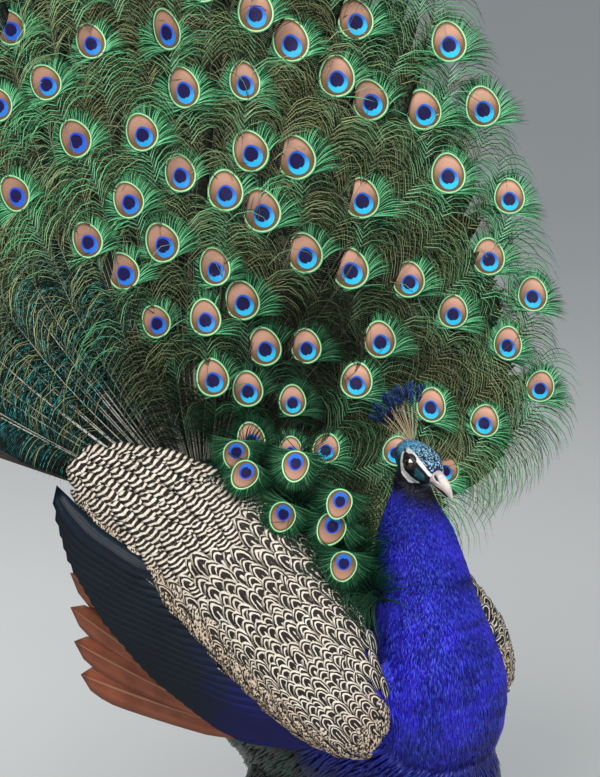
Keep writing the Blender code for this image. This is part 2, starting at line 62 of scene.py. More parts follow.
# Camera. The bird is seen from its right front and a little above, at the height of its crest,
# through a long lens, so that the fan fills the frame and its rim runs out of it.
# Every size below is in metres from the point of the floor under the middle of the breast, and
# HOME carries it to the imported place, which is found from the right eye.
SKULL = np.array((-0.0074, -0.1254, 0.7572))
HEAD_YAW, HEAD_PITCH = math.radians(-11), math.radians(15)
LEVEL = np.array((math.sin(HEAD_YAW), -math.cos(HEAD_YAW), 0.0))
BEAK_WAY = LEVEL * math.cos(HEAD_PITCH) - np.array((0, 0, math.sin(HEAD_PITCH)))
HEAD_RIGHT = np.array((-math.cos(HEAD_YAW), -math.sin(HEAD_YAW), 0.0))
HEAD_UP = np.cross(HEAD_RIGHT, BEAK_WAY)


def on_head(ahead, side, rise):
    """A point of the head: ahead towards the bill, out to the bird's right, and up."""
    return SKULL + BEAK_WAY * ahead + HEAD_RIGHT * side + HEAD_UP * rise


EYE_AHEAD, EYE_SIDE, EYE_RISE, EYE_RADIUS = 0.0025, 0.0142, 0.0040, 0.0076
low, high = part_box("eye_right")
HOME = np.array((low + high) / 2) - on_head(EYE_AHEAD, EYE_SIDE, EYE_RISE)

VIEW_SIDE, VIEW_DROP, VIEW_FAR = math.radians(45), math.radians(12), 4.6
VIEW_AIM = np.array((-0.0943, -0.0338, 0.8362))
VIEW_WAY = np.array((
    math.sin(VIEW_SIDE) * math.cos(VIEW_DROP),
    math.cos(VIEW_SIDE) * math.cos(VIEW_DROP),
    -math.sin(VIEW_DROP)))
lens = bpy.data.cameras.new("camera")
lens.lens = 204.6
lens.sensor_width = 36
lens.clip_end = 200
camera = bpy.data.objects.new("camera", lens)
bpy.context.scene.collection.objects.link(camera)
camera.location = VIEW_AIM - VIEW_WAY * VIEW_FAR + HOME
camera.rotation_euler = Vector(VIEW_WAY).to_track_quat("-Z", "Y").to_euler()
bpy.context.scene.camera = camera

# Studio. One wide flat floor of pale painted card, lit by a large soft key from the bird's
# right, a cooler fill from its front and a lamp behind it.


def operator(operation, turned=False):
    """A sum as one of Python's operators; turned puts the other term first."""
    def applied(wire, other):
        return wire.finish.sum(operation, *((other, wire) if turned else (wire, other)))
    return applied


class Wire:
    """One socket of a finish, so that its shader maths reads as plain sums."""

    def __init__(self, finish, socket):
        self.finish, self.socket = finish, socket

    def __abs__(self):
        return self.finish.sum("ABSOLUTE", self)

    __add__ = __radd__ = operator("ADD")
    __sub__, __rsub__ = operator("SUBTRACT"), operator("SUBTRACT", turned=True)
    __mul__ = __rmul__ = operator("MULTIPLY")
    __truediv__, __rtruediv__ = operator("DIVIDE"), operator("DIVIDE", turned=True)
    __pow__ = operator("POWER")
    __gt__, __lt__ = operator("GREATER_THAN"), operator("LESS_THAN")


class Finish:
    """A material whose nodes are made by one method."""

    def __init__(self, name, **constants):
        self.material = bpy.data.materials.new(name)
        self.material.use_nodes = True
        self.nodes = self.material.node_tree.nodes
        self.links = self.material.node_tree.links
        self.shader = self.nodes["Principled BSDF"]
        self.set(**constants)

    def set(self, **values):
        """Values or wires for the shader, named with _ for a space."""
        for key, value in values.items():
            self.feed(self.shader.inputs[key.replace("_", " ")], value)
        return self

    def feed(self, socket, value):
        if isinstance(value, Wire):
            self.links.new(value.socket, socket)
        elif hasattr(socket.default_value, "__len__") and len(socket.default_value) == 4:
            socket.default_value = (*value[:3], 1.0)
        else:
            socket.default_value = value

    def node(self, kind, settings=None, inputs=None, output=0):
        """Any node: its settings first, then its sockets, and the wire that leaves it."""
        made = self.nodes.new(kind)
        for key, value in (settings or {}).items():
            if key == "stops":
                self.stops(made.color_ramp, value)
            else:
                setattr(made, key, value)
        for key, value in (inputs or {}).items():
            self.feed(made.inputs[key], value)
        return Wire(self, made.outputs[output])

    @staticmethod
    def stops(ramp, stops):
        while len(ramp.elements) < len(stops):
            ramp.elements.new(1.0)
        for element, (place, colour) in zip(ramp.elements, stops):
            element.position = place
            element.color = (*colour, 1.0)

    def sum(self, operation, *terms):
        return self.node("ShaderNodeMath", {"operation": operation}, dict(enumerate(terms)))

    def mix(self, share, first, second):
        settings = {"data_type": "RGBA"}
        return self.node("ShaderNodeMix", settings, {0: share, 6: first, 7: second}, 2)

    def ramp(self, place, *stops, interpolation="LINEAR"):
        made = self.node("ShaderNodeValToRGB", {"stops": stops}, {0: place})
        made.socket.node.color_ramp.interpolation = interpolation
        return made

    def smooth(self, value, low, high):
        """0 below low, 1 above high, eased between."""
        settings = {"interpolation_type": "SMOOTHSTEP"}
        return self.node("ShaderNodeMapRange", settings, {0: value, 1: low, 2: high})

    def vector(self, operation, first, second, output=0):
        inputs = {0: first, 1: second}
        return self.node("ShaderNodeVectorMath", {"operation": operation}, inputs, output)

    def place(self):
        """The point on the bird, from the floor under its breast."""
        return self.vector("SUBTRACT", self.node("ShaderNodeTexCoord", output=3), tuple(HOME))

    def along(self, point, way, start=(0, 0, 0)):
        """How far a point lies from start along a direction."""
        return self.vector(
            "DOT_PRODUCT", self.vector("SUBTRACT", point, tuple(start)), tuple(way), 1)

    def off(self, x, y):
        """How far two distances square to one another lead."""
        return self.sum("SQRT", x ** 2.0 + y ** 2.0)

    def head_place(self, point, centre=SKULL):
        """Ahead, right and up in the head's own frame."""
        ways = (BEAK_WAY, HEAD_RIGHT, HEAD_UP)
        return [self.along(point, tuple(way), tuple(centre)) for way in ways]

    def noise(self, scale, point=None, detail=2.0, stretch=None):
        point = point or self.place()
        if stretch:
            point = self.vector("MULTIPLY", point, stretch)
        return self.node("ShaderNodeTexNoise", None, {0: point, 2: scale, 3: detail})

    def map(self, name):
        """Both distances of one of the mesh's flat maps."""
        split = self.node(
            "ShaderNodeSeparateXYZ", None, {0: self.node("ShaderNodeUVMap", {"uv_map": name})})
        return split, Wire(self, split.socket.node.outputs[1])

    def mark(self, name):
        """A number kept on the mesh at every point."""
        return self.node("ShaderNodeAttribute", {"attribute_name": name}, output=2)

    def bump(self, height, strength=0.5, distance=0.001):
        inputs = {"Strength": strength, "Distance": distance, "Height": height}
        self.set(Normal=self.node("ShaderNodeBump", None, inputs))
        return self


card = Finish("pale_card", Roughness=0.85)
card.set(Base_Color=card.mix(card.noise(1.5), (0.60, 0.61, 0.60), (0.64, 0.65, 0.64)))
bpy.ops.object.select_all(action="DESELECT")
bpy.ops.mesh.primitive_plane_add(size=60, location=(0, 0, 0))
floor = bpy.context.object
floor.name = "floor"
floor.data.materials.append(card.material)
floor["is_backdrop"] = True


def lamp(name, place, size, watts, colour, target=(0, 0, 0.6)):
    """A square soft box that faces the bird."""
    light = bpy.data.lights.new(name, "AREA")
    light.size = size
    light.energy = watts
    light.color = colour
    made = bpy.data.objects.new(name, light)
    bpy.context.scene.collection.objects.link(made)
    made.location = Vector(place)
    made.rotation_euler = (Vector(target) - Vector(place)).to_track_quat("-Z", "Y").to_euler()


lamp("key", (-2.2, -1.4, 3.4), 1.5, 150, (1.0, 0.98, 0.94))
lamp("fill", (-0.6, -3.6, 1.2), 2.2, 58, (0.94, 0.97, 1.0))
lamp("back", (0.6, 2.8, 2.6), 2.0, 40, (1.0, 1.0, 1.0))
world = bpy.data.worlds.new("room")
bpy.context.scene.world = world
world.use_nodes = True
world.node_tree.nodes["Background"].inputs[0].default_value = (0.80, 0.86, 0.92, 1.0)
world.node_tree.nodes["Background"].inputs[1].default_value = 0.42
bpy.context.scene.view_settings.view_transform = "Standard"
bpy.context.scene.view_settings.look = "None"

# Skin. One hide over head, neck, trunk, back, wings and thighs, made from the flesh nodes as
# one closed body and drawn in by the depth of the coat that grows on each part of it.
FLESH = (
    "head", "neck_upper", "neck_lower", "trunk", "back",
    "wing_right", "wing_left", "thigh_right", "thigh_left")
# How deep the coat is on each.
COAT_DEPTH = {
    "head": 0.0013, "neck_upper": 0.0024, "neck_lower": 0.0040, "trunk": 0.0070, "back": 0.0060,
    "wing_right": 0.0040, "wing_left": 0.0040, "thigh_right": 0.0060, "thigh_left": 0.0060}
SWELL = 0.0012
VOXEL = 0.0039
DEPTH_BLUR = 45


def unit(vectors):
    """Vectors of length one, along the last axis."""
    vectors = np.asarray(vectors, float)
    return vectors / np.maximum(np.linalg.norm(vectors, axis=-1, keepdims=True), 1e-9)


def rows_of(items, key, each, kind=float):
    """One value of all of a mesh's items, as rows."""
    values = np.zeros(len(items) * each, kind)
    items.foreach_get(key, values)
    return values.reshape(-1, each)


def node_arrays(name):
    """Points and triangles of a CAD node, in the bird's own place."""
    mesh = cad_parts[name].data
    mesh.calc_loop_triangles()
    faces = rows_of(mesh.loop_triangles, "vertices", 3, int)
    return rows_of(mesh.vertices, "co", 3) - HOME, faces


def tree_of(names):
    """A search tree over CAD nodes, and which node each of its triangles is from."""
    points, faces, owner, count = [], [], [], 0
    for name in names:
        node_points, node_faces = node_arrays(name)
        points.append(node_points)
        faces.append(node_faces + count)
        owner += [name] * len(node_faces)
        count += len(node_points)
    tree = BVHTree.FromPolygons(np.concatenate(points).tolist(), np.concatenate(faces).tolist())
    return tree, owner


def hide_blank():
    """The flesh nodes as one object, each swollen a little so that they run together."""
    parts = []
    for name in FLESH:
        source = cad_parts[name]
        copy = bpy.data.objects.new("flesh", source.data.copy())
        bpy.context.scene.collection.objects.link(copy)
        parts.append(copy)
    bpy.ops.object.select_all(action="DESELECT")
    for part in parts:
        bpy.context.view_layer.objects.active = part
        part.select_set(True)
        bpy.ops.object.mode_set(mode="EDIT")
        bpy.ops.mesh.select_all(action="SELECT")
        bpy.ops.mesh.remove_doubles(threshold=1e-5)
        bpy.ops.transform.shrink_fatten(value=SWELL)
        bpy.ops.object.mode_set(mode="OBJECT")
        part.select_set(False)
    for part in parts:
        part.select_set(True)
    bpy.context.view_layer.objects.active = parts[0]
    bpy.ops.object.join()
    return parts[0]


skin = hide_blank()
skin.name = "skin"
remesh = skin.modifiers.new("one_hide", "REMESH")
remesh.mode = "VOXEL"
remesh.voxel_size = VOXEL
bpy.ops.object.modifier_apply(modifier="one_hide")
ease = skin.modifiers.new("ease", "SMOOTH")
ease.factor = 0.5
ease.iterations = 4
bpy.ops.object.modifier_apply(modifier="ease")

FLESH_TREE, FLESH_OWNER = tree_of(FLESH)


def owners(points):
    """The name of the flesh node nearest to each point."""
    return np.array([FLESH_OWNER[FLESH_TREE.find_nearest(Vector(point))[2]] for point in points])


def neighbour_mean(mesh, values, rounds):
    """Values at the points of a mesh, blurred along its edges."""
    edges = rows_of(mesh.edges, "vertices", 2, int)
    first, second = edges.T
    count = np.bincount(edges.ravel(), minlength=len(values))
    for _ in range(rounds):
        total = np.bincount(first, values[second], len(values))
        total += np.bincount(second, values[first], len(values))
        values = 0.5 * values + 0.5 * total / np.maximum(count, 1)
    return values


hide_points = rows_of(skin.data.vertices, "co", 3)
hide_owner = owners(hide_points - HOME)
depth = np.array([COAT_DEPTH[name] for name in hide_owner]) + SWELL
depth = neighbour_mean(skin.data, depth, DEPTH_BLUR)
hide_points -= rows_of(skin.data.vertices, "normal", 3) * depth[:, None]
skin.data.vertices.foreach_set("co", hide_points.ravel())
skin.data.update()
bpy.ops.object.mode_set(mode="EDIT")
bpy.ops.mesh.select_all(action="SELECT")
bpy.ops.uv.smart_project(angle_limit=math.radians(66), island_margin=0.002)
bpy.ops.object.mode_set(mode="OBJECT")
skin.data.uv_layers.active.name = "OFBake"
while len(skin.data.uv_layers) > 1:
    spare = [layer for layer in skin.data.uv_layers if layer.name != "OFBake"]
    skin.data.uv_layers.remove(spare[0])
bpy.ops.object.shade_smooth()
skin.data.materials.clear()


COBALT, VIOLET, GLINT = (0.004, 0.006, 0.36), (0.040, 0.022, 0.84), (0.07, 0.13, 1.0)
NECK_SHADE, FOLD_SHADE, COLLAR = (0.000, 0.001, 0.03), (0.000, 0.000, 0.020), (0.001, 0.002, 0.012)
BREAST, BACK_DARK, BACK_GREEN = (0.001, 0.006, 0.055), (0.001, 0.005, 0.005), (0.008, 0.050, 0.030)
THIGH_BROWN = (0.05, 0.04, 0.03)
STRIPE_RISE, STRIPE_CURVE = 0.0129, 12.5
TURQUOISE, NAVY, CROWN_FLECK = (0.010, 0.25, 0.52), (0.001, 0.004, 0.040), (0.40, 0.78, 1.0)
NAPE, NAPE_FLECK, CHEEK_TEAL = (0.001, 0.045, 0.085), (0.02, 0.22, 0.36), (0.020, 0.19, 0.26)
FACE_BLACK, THROAT, WHITE = (0.0015, 0.0018, 0.004), (0.001, 0.002, 0.010), (1.0, 1.0, 0.98)


def plumage(finish, tone, along):
    """Colours of the coat over the whole hide, from the place on the bird."""
    point = finish.place()
    height = finish.along(point, (0, 0, 1))
    ahead, side, rise = finish.head_place(point)
    flank = abs(side)
    patch = finish.noise(26.0, detail=2.0)
    fine = finish.noise(420.0, detail=1.0, stretch=(1, 1, 0.35))
    lively = finish.smooth(patch, 0.35, 0.7)
    lively = finish.mix(lively, COBALT, VIOLET)
    sparkle = finish.smooth(fine + tone * 0.35, 0.55, 0.95)
    neck = finish.mix(sparkle * 0.6, lively, GLINT)
    neck = finish.mix((1 - along) * 0.70, neck, NECK_SHADE)
    # Painted shade in creases of the neck, on the side away from the key lamp and lower down.
    crease_shade_noise = finish.noise(17.0, detail=4.0, stretch=(0.6, 0.6, 4.5))
    toward_shaded_side = finish.along(point, (1, -0.5, 0))
    crease_shade = finish.smooth(crease_shade_noise + tone * 0.16, 0.58, 0.74) * finish.smooth(toward_shaded_side, 0.050, 0.110)
    crease_shade = crease_shade * finish.smooth(height, 0.70, 0.62)
    neck = finish.mix(crease_shade * 0.70, neck, FOLD_SHADE)
    breast = finish.mix(finish.smooth(height, 0.50, 0.40), neck, BREAST)
    back_share = finish.smooth(finish.along(point, (0, 1, 0)), -0.075, -0.03)
    scaled = finish.smooth(patch + tone * 0.5, 0.55, 1.1)
    scaled = finish.mix(scaled, BACK_DARK, BACK_GREEN)
    coat = finish.mix(back_share, breast, scaled)
    low = finish.smooth(height, 0.36, 0.31) * back_share
    coat = finish.mix(low, coat, THIGH_BROWN)
    on_skull = finish.smooth(rise + ahead * 0.25, -0.0225, -0.0195)
    on_skull = on_skull * finish.smooth(height, 0.725, 0.732)
    tilted = finish.along(point, (0.30, -0.30, 0), (0, -0.12, 0))
    collar = finish.smooth(height + (tone - 0.5) * 0.014 + tilted, 0.702, 0.722)
    coat = finish.mix(collar, coat, COLLAR)
    # The head: a turquoise crown that turns to pale-flecked navy, black round the eye and on the
    # throat, a white stripe over the eye, a white crescent under it and a flecked teal cheek.
    fleck = finish.smooth(tone + along * 0.45, 0.80, 1.02)
    front = finish.smooth(ahead + tone * 0.010, -0.010, 0.006)
    crown = finish.mix(front, TURQUOISE, NAVY)
    crown = finish.mix(fleck * 0.9, crown, CROWN_FLECK)
    nape = finish.mix(fleck * 0.5, NAPE, NAPE_FLECK)
    on_nape = finish.smooth(rise, 0.010, 0.001) * finish.smooth(ahead, -0.008, -0.016)
    crown = finish.mix(on_nape, crown, nape)
    arch = ahead + 0.002
    stripe = rise + STRIPE_CURVE * (arch * finish.sum("MAXIMUM", arch, 0.0))
    mask = finish.smooth(stripe, STRIPE_RISE, 0.0120) * finish.smooth(flank, 0.004, 0.008)
    mask = mask * finish.smooth(ahead, -0.0170, -0.0130)
    face = finish.mix(mask, crown, FACE_BLACK)
    cheek = finish.smooth(ahead, 0.0115, 0.0145) * finish.smooth(rise, -0.0095, -0.0065)
    cheek = cheek * finish.smooth(ahead, 0.0260, 0.0225) * finish.smooth(stripe, 0.0085, 0.0060)
    face = finish.mix(cheek * (0.25 + fleck * 0.75), face, CHEEK_TEAL)
    brow = finish.smooth(abs(stripe - STRIPE_RISE), 0.0023, 0.0015)
    brow = brow * finish.smooth(ahead, -0.0125, -0.0095)
    brow = brow * finish.smooth(flank, 0.0040, 0.0060)

    def streak(first, last, wide_first, wide_last):
        """A tapering white streak from one point of the cheek to the next."""
        run, climb = last[0] - first[0], last[1] - first[1]
        share = ((ahead - first[0]) * run + (rise - first[1]) * climb) / (run * run + climb * climb)
        share = finish.sum("MINIMUM", finish.sum("MAXIMUM", share, 0.0), 1.0)
        gone = finish.off(ahead - first[0] - share * run, rise - first[1] - share * climb)
        return gone - (share * (wide_last - wide_first) + wide_first)

    bends = (
        (-0.0128, 0.0085), (-0.0098, -0.0020), (-0.0062, -0.0100), (0.0030, -0.0138),
        (0.0140, -0.0138))
    widths = ((0.0013, 0.0023), (0.0026, 0.0042), (0.0042, 0.0052), (0.0052, 0.0016))
    under = streak(bends[0], bends[1], *widths[0])
    for first, last, wide in zip(bends[1:], bends[2:], widths[1:]):
        under = finish.sum("MINIMUM", under, streak(first, last, *wide))
    under = finish.smooth(under, 0.0006, -0.0002) * finish.smooth(flank, 0.005, 0.008)
    face = finish.mix(finish.smooth(rise, -0.0175, -0.0200), face, THROAT)
    face = finish.mix(finish.sum("MAXIMUM", brow, under), face, WHITE)
    return finish.mix(on_skull, coat, face)


hide = Finish("plumage_skin", Roughness=0.75)
hide.set(Base_Color=plumage(hide, 0.3, 0.25))
skin.data.materials.append(hide.material)
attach(skin, "root")
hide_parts(*FLESH)

# Coat. Small contour feathers in overlapping rows over the whole hide, each a slim closed blade
# that is rooted in the skin and follows the lie of the plumage, smallest on the face.
BLADE = ((-1.0, 0.0), (0.0, 1.0), (1.0, 0.0))
PATCH = 0.003


def lofted(paths, sides, outs, halves, thicks, profile=BLADE):
    """Slim bodies, each a profile carried along a path and closed at its tip."""
    profile = np.array(profile)
    across, over = profile[:, 0, None], profile[:, 1, None]
    rings = paths[:, :-1, None] + sides[:, :, None] * (halves[..., None, None] * across)
    rings = rings + outs[:, :, None] * (thicks[..., None, None] * over)
    number = len(paths)
    return np.concatenate((rings.reshape(number, -1, 3), paths[:, -1:]), axis=1)


def vane_axes(paths, outs):
    """Across and up at every step of a path, square to it; outs is about up."""
    ahead = unit(np.diff(paths, axis=1))
    sides = unit(np.cross(ahead, outs))
    return sides, unit(np.cross(sides, ahead))


def loft_faces(steps, around):
    """Corners of one such body: walls, tip and closed root."""
    faces = []
    for step in range(steps - 1):
        for j in range(around):
            a, b = step * around + j, step * around + (j + 1) % around
            faces.append((a, b, b + around, a + around))
    last = (steps - 1) * around
    for j in range(around):
        faces.append((last + j, last + (j + 1) % around, steps * around))
    faces.append(tuple(reversed(range(around))))
    return faces


def vane_map(steps, profile=BLADE, t=None):
    """Across and along, each 0 to 1, at the points of one such body."""
    profile = np.array(profile)
    across = np.tile(profile[:, 0] * 0.5 + 0.5, steps)
    along = np.repeat(np.arange(steps) / steps if t is None else t[:-1], len(profile))
    return np.column_stack((np.append(across, 0.5), np.append(along, 1.0)))


def patch_map(spots, local):
    """A small patch of a flat map for each body, side by side from the spots."""
    return spots[:, None] + (local[None] - (0.5, 0.0)) * PATCH


def joined(name, points, faces, maps, marks, finish, nodes=(), smooth=True):
    """Many like bodies as one piece. points is bodies by points by 3, maps is by name."""
    number, each = points.shape[:2]
    first = points[0]
    bulk = sum(
        np.dot(first[face[0]], np.cross(first[face[k]], first[face[k + 1]]))
        for face in faces for k in range(1, len(face) - 1))
    faces = [face if bulk > 0 else tuple(face[::-1]) for face in faces]
    corners = np.concatenate(faces)
    sizes = np.array([len(face) for face in faces])
    index = (corners[None] + np.arange(number)[:, None] * each).ravel()
    mesh = bpy.data.meshes.new(name)
    mesh.vertices.add(number * each)
    mesh.vertices.foreach_set("co", (points + HOME).ravel())
    mesh.loops.add(len(index))
    mesh.loops.foreach_set("vertex_index", index)
    mesh.polygons.add(number * len(sizes))
    starts = np.concatenate(([0], np.cumsum(np.tile(sizes, number))[:-1]))
    mesh.polygons.foreach_set("loop_start", starts)
    mesh.update(calc_edges=True)
    mesh.polygons.foreach_set("use_smooth", np.full(len(mesh.polygons), smooth))
    for key, values in maps.items():
        layer = mesh.uv_layers.new(name=key)
        flat = np.broadcast_to(values, (number, each, 2)).reshape(-1, 2)
        layer.uv.foreach_set("vector", flat[index].ravel())
    for key, values in marks.items():
        attribute = mesh.attributes.new(key, "FLOAT", "POINT")
        attribute.data.foreach_set("value", np.broadcast_to(values, (number, each)).ravel())
    made = bpy.data.objects.new(name, mesh)
    bpy.context.scene.collection.objects.link(made)
    mesh.materials.append(finish.material)
    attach(made, "root")
    if nodes:
        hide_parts(*nodes)
    return made


def skin_roots(mesh, number, seed, spacing, keep):
    """Places on the hide, no two closer than spacing of their points: points, normals and map."""
    mesh.calc_loop_triangles()
    corners = rows_of(mesh.loop_triangles, "vertices", 3, int)
    loops = rows_of(mesh.loop_triangles, "loops", 3, int)
    points = rows_of(mesh.vertices, "co", 3) - HOME
    normals = rows_of(mesh.vertices, "normal", 3)
    flat = rows_of(mesh.uv_layers["OFBake"].uv, "vector", 2)
    a, b, c = points[corners[:, 0]], points[corners[:, 1]], points[corners[:, 2]]
    middle = (a + b + c) / 3
    area = np.linalg.norm(np.cross(b - a, c - a), axis=1) * keep(middle)
    dice = np.random.default_rng(seed)
    pick = dice.choice(len(area), number, p=area / area.sum())
    share = dice.dirichlet((1, 1, 1), number)
    root = np.einsum("nk,nkj->nj", share, points[corners[pick]])
    out = unit(np.einsum("nk,nkj->nj", share, normals[corners[pick]]))
    place = np.einsum("nk,nkj->nj", share, flat[loops[pick]])
    cell = np.floor(root / spacing(root)[:, None]).astype(int)
    _, first = np.unique(cell, axis=0, return_index=True)
    return root[first], out[first], place[first]


def lie_way(roots, outs, way):
    """Directions laid flat on the hide."""
    way = way - outs * (way * outs).sum(1, keepdims=True)
    return unit(way)


def coat(name, finish, roots, outs, ways, places, length, half, thick, lift, droop, seed, steps=2):
    """One piece of contour feathers as blades, rooted in the hide."""
    dice = np.random.default_rng(seed)
    number = len(roots)
    length = length * dice.uniform(0.8, 1.2, number)
    half = half * dice.uniform(0.85, 1.15, number)
    side = unit(np.cross(ways, outs))
    ways = unit(ways + side * dice.normal(0, 0.10, number)[:, None])
    t = np.linspace(0, 1, steps + 1)
    rise = lift * t * (1.6 - t) - 0.0006 * (1 - t)
    path = roots[:, None] + ways[:, None] * (length[:, None] * t)[..., None]
    path = path + outs[:, None] * (rise[None] + droop * (length[:, None] * t) ** 2)[..., None]
    width = half[:, None] * np.interp(t[:-1], (0, 0.5, 1), (0.8, 1.0, 0.5))[None]
    sides = np.repeat(side[:, None], steps, 1)
    up = np.repeat(outs[:, None], steps, 1)
    points = lofted(path, sides, up, width, np.full_like(width, thick))
    local = vane_map(steps)
    marks = {"along": local[None, :, 1], "tone": dice.uniform(0, 1, number)[:, None]}
    joined(
        name, points, loft_faces(steps, len(BLADE)), {"OFBake": patch_map(places, local)}, marks,
        finish)


FACE_TRIES, NECK_TRIES, BODY_TRIES = 30000, 40000, 60000


def in_head(points):
    """Head frame sizes of points: ahead, right and up."""
    away = points - SKULL
    return away @ BEAK_WAY, away @ HEAD_RIGHT, away @ HEAD_UP


def coat_finish(name, roughness, metallic):
    finish = Finish(name, Roughness=roughness, Metallic=metallic)
    along, tone = finish.mark("along"), finish.mark("tone")
    finish.set(Base_Color=plumage(finish, tone, 0.35 + along * 0.65))
    return finish


silk = coat_finish("cobalt_coat", 0.42, 0.35)
velvet = coat_finish("head_coat", 0.5, 0.15)


def is_head(points):
    ahead, side, rise = in_head(points)
    over = rise + ahead * 0.25 > -0.0215
    return (np.abs(ahead + 0.006) < 0.040) & over & (np.abs(side) < 0.03) & (points[:, 2] > 0.728)


def face_keep(points, crown):
    """Feathered parts of the face: not the eye, not the bare skin at the bill."""
    ahead, side, rise = in_head(points)
    eye = np.hypot(ahead - EYE_AHEAD, rise - EYE_RISE) > 0.0078
    bare = (ahead > 0.0300) & (rise > -0.0140)
    over_stripe = rise + STRIPE_CURVE * (ahead + 0.002) * np.maximum(ahead + 0.002, 0) > 0.0155
    feathered = is_head(points) & (eye | (np.abs(side) < 0.010)) & ~bare
    return (feathered & (over_stripe == crown)).astype(float)


for piece, crown, spacing, seed, sizes, half in (
        ("face_coat", False, 0.00085, 11, (0.0046, 0.0034, 0.0022), 0.00036),
        ("crown_coat", True, 0.00150, 14, (0.0048, 0.0040, 0.0030), 0.00078)):
    roots, outs, places = skin_roots(
        skin.data, FACE_TRIES, seed,
        lambda p: np.full(len(p), spacing), lambda p: face_keep(p, crown))
    ahead, side, rise = in_head(roots)
    away = roots - (SKULL + BEAK_WAY * 0.05)
    ways = lie_way(roots, outs, away - HEAD_UP * 0.004)
    size = np.interp(ahead, (-0.03, 0.0, 0.025), sizes)
    coat(piece, velvet, roots, outs, ways, places, size, half, 0.00012, 0.0007, -6.0, seed)


def neck_keep(points):
    owner = owners(points)
    return (np.isin(owner, ("neck_upper", "neck_lower")) & ~is_head(points)).astype(float)


roots, outs, places = skin_roots(
    skin.data, NECK_TRIES, 12,
    lambda p: np.interp(p[:, 2], (0.40, 0.60, 0.74), (0.0040, 0.0032, 0.0018)), neck_keep)
ways = lie_way(roots, outs, np.tile((0.0, 0.02, -1.0), (len(roots), 1)))
size = np.interp(roots[:, 2], (0.40, 0.60, 0.74), (0.020, 0.015, 0.006))
half = np.interp(roots[:, 2], (0.40, 0.60, 0.74), (0.0011, 0.0009, 0.00045))
coat("neck_coat", silk, roots, outs, ways, places, size, half, 0.0003, 0.0022, -0.5, 2)


def trunk_keep(points):
    return np.isin(owners(points), ("trunk", "thigh_right", "thigh_left", "back")).astype(float)


roots, outs, places = skin_roots(
    skin.data, BODY_TRIES, 13, lambda p: np.full(len(p), 0.0056), trunk_keep)
owner = owners(roots)
backward = np.tile((0.0, 0.75, -0.55), (len(roots), 1))
backward[owner == "back"] = (0.0, 0.8, 0.6)
backward[np.char.startswith(owner, "thigh")] = (0.0, 0.05, -1.0)
ways = lie_way(roots, outs, backward)
size = np.where(np.char.startswith(owner, "thigh"), 0.018, 0.026)
coat("body_coat", silk, roots, outs, ways, places, size, 0.0025, 0.0004, 0.0040, -0.5, 3)

# Eyes. Dark brown globes with a wet clear front, each held by a bare dark lid that is one
# ring of skin, rounded where it lies on the globe and thinned to nothing under the feathers.
eye = Finish("wet_brown_eye", Roughness=0.05, Coat_Weight=1.0, Coat_Roughness=0.02, IOR=1.40)
point = eye.place()
for_eye = []
for way in (1, -1):
    centre = on_head(EYE_AHEAD, EYE_SIDE * way, EYE_RISE)
    ahead, _, rise = eye.head_place(point, centre)
    for_eye.append(eye.off(ahead, rise))
reach = eye.sum("MINIMUM", for_eye[0], for_eye[1])
rays = eye.noise(900.0, detail=3.0)
eye.set(Base_Color=eye.ramp(
    reach + (rays - 0.5) * 0.0005, (0.0, (0.001, 0.001, 0.001)), (0.0030, (0.001, 0.001, 0.001)),
    (0.0034, (0.035, 0.013, 0.006)), (0.0050, (0.022, 0.008, 0.004)),
    (0.0060, (0.006, 0.003, 0.002))))
lid = Finish("bare_lid", Roughness=0.60, Base_Color=(0.006, 0.006, 0.007))
lid.bump(lid.noise(1500.0), 0.4, 0.0003)
LID_AROUND = 48


def lid_ring(centre, outward):
    """A lid's points, ring by ring across it: from under the feathers to its rim and behind."""
    ahead_way = unit(BEAK_WAY - outward * (BEAK_WAY @ outward))
    up_way = np.cross(outward, ahead_way)
    up_way = up_way * np.sign(up_way @ HEAD_UP)
    spin = np.arange(LID_AROUND) * 2 * math.pi / LID_AROUND
    long, tall = 0.0063, 0.0057
    rim = long * tall / np.hypot(tall * np.cos(spin), long * np.sin(spin))
    rim = rim + 0.0007 * np.maximum(np.cos(spin), 0) ** 6
    on_globe = np.sqrt(EYE_RADIUS ** 2 - rim ** 2)
    rings = (
        (0.0037, 0.0011 - on_globe), (0.0022, 0.0032 - on_globe), (0.0010, 0.0007),
        (0.0003, 0.0008), (-0.0001, 0.0002), (0.0004, -0.0012), (0.0030, -0.0040))
    points = []
    for more, over in rings:
        reach = rim + more
        height = on_globe + over
        points.append(
            centre + outward * height[:, None] + ahead_way * (np.cos(spin) * reach)[:, None]
            + up_way * (np.sin(spin) * reach)[:, None])
    return np.concatenate(points), len(rings)


def dress(finish, *nodes):
    """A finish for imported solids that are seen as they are."""
    for name in nodes:
        for material_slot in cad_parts[name].material_slots:
            material_slot.material = finish.material


dress(eye, "eye_right", "eye_left")
for side_name, way in (("right", 1), ("left", -1)):
    outward = unit(HEAD_RIGHT * way + BEAK_WAY * 0.10 + HEAD_UP * 0.10)
    points, rings = lid_ring(on_head(EYE_AHEAD, EYE_SIDE * way, EYE_RISE), outward)
    faces = []
    for ring in range(rings):
        for j in range(LID_AROUND):
            here, after = ring * LID_AROUND, (ring + 1) % rings * LID_AROUND
            k = (j + 1) % LID_AROUND
            faces.append((here + j, here + k, after + k, after + j))
    joined("lid_" + side_name, points[None], faces, {}, {}, lid)

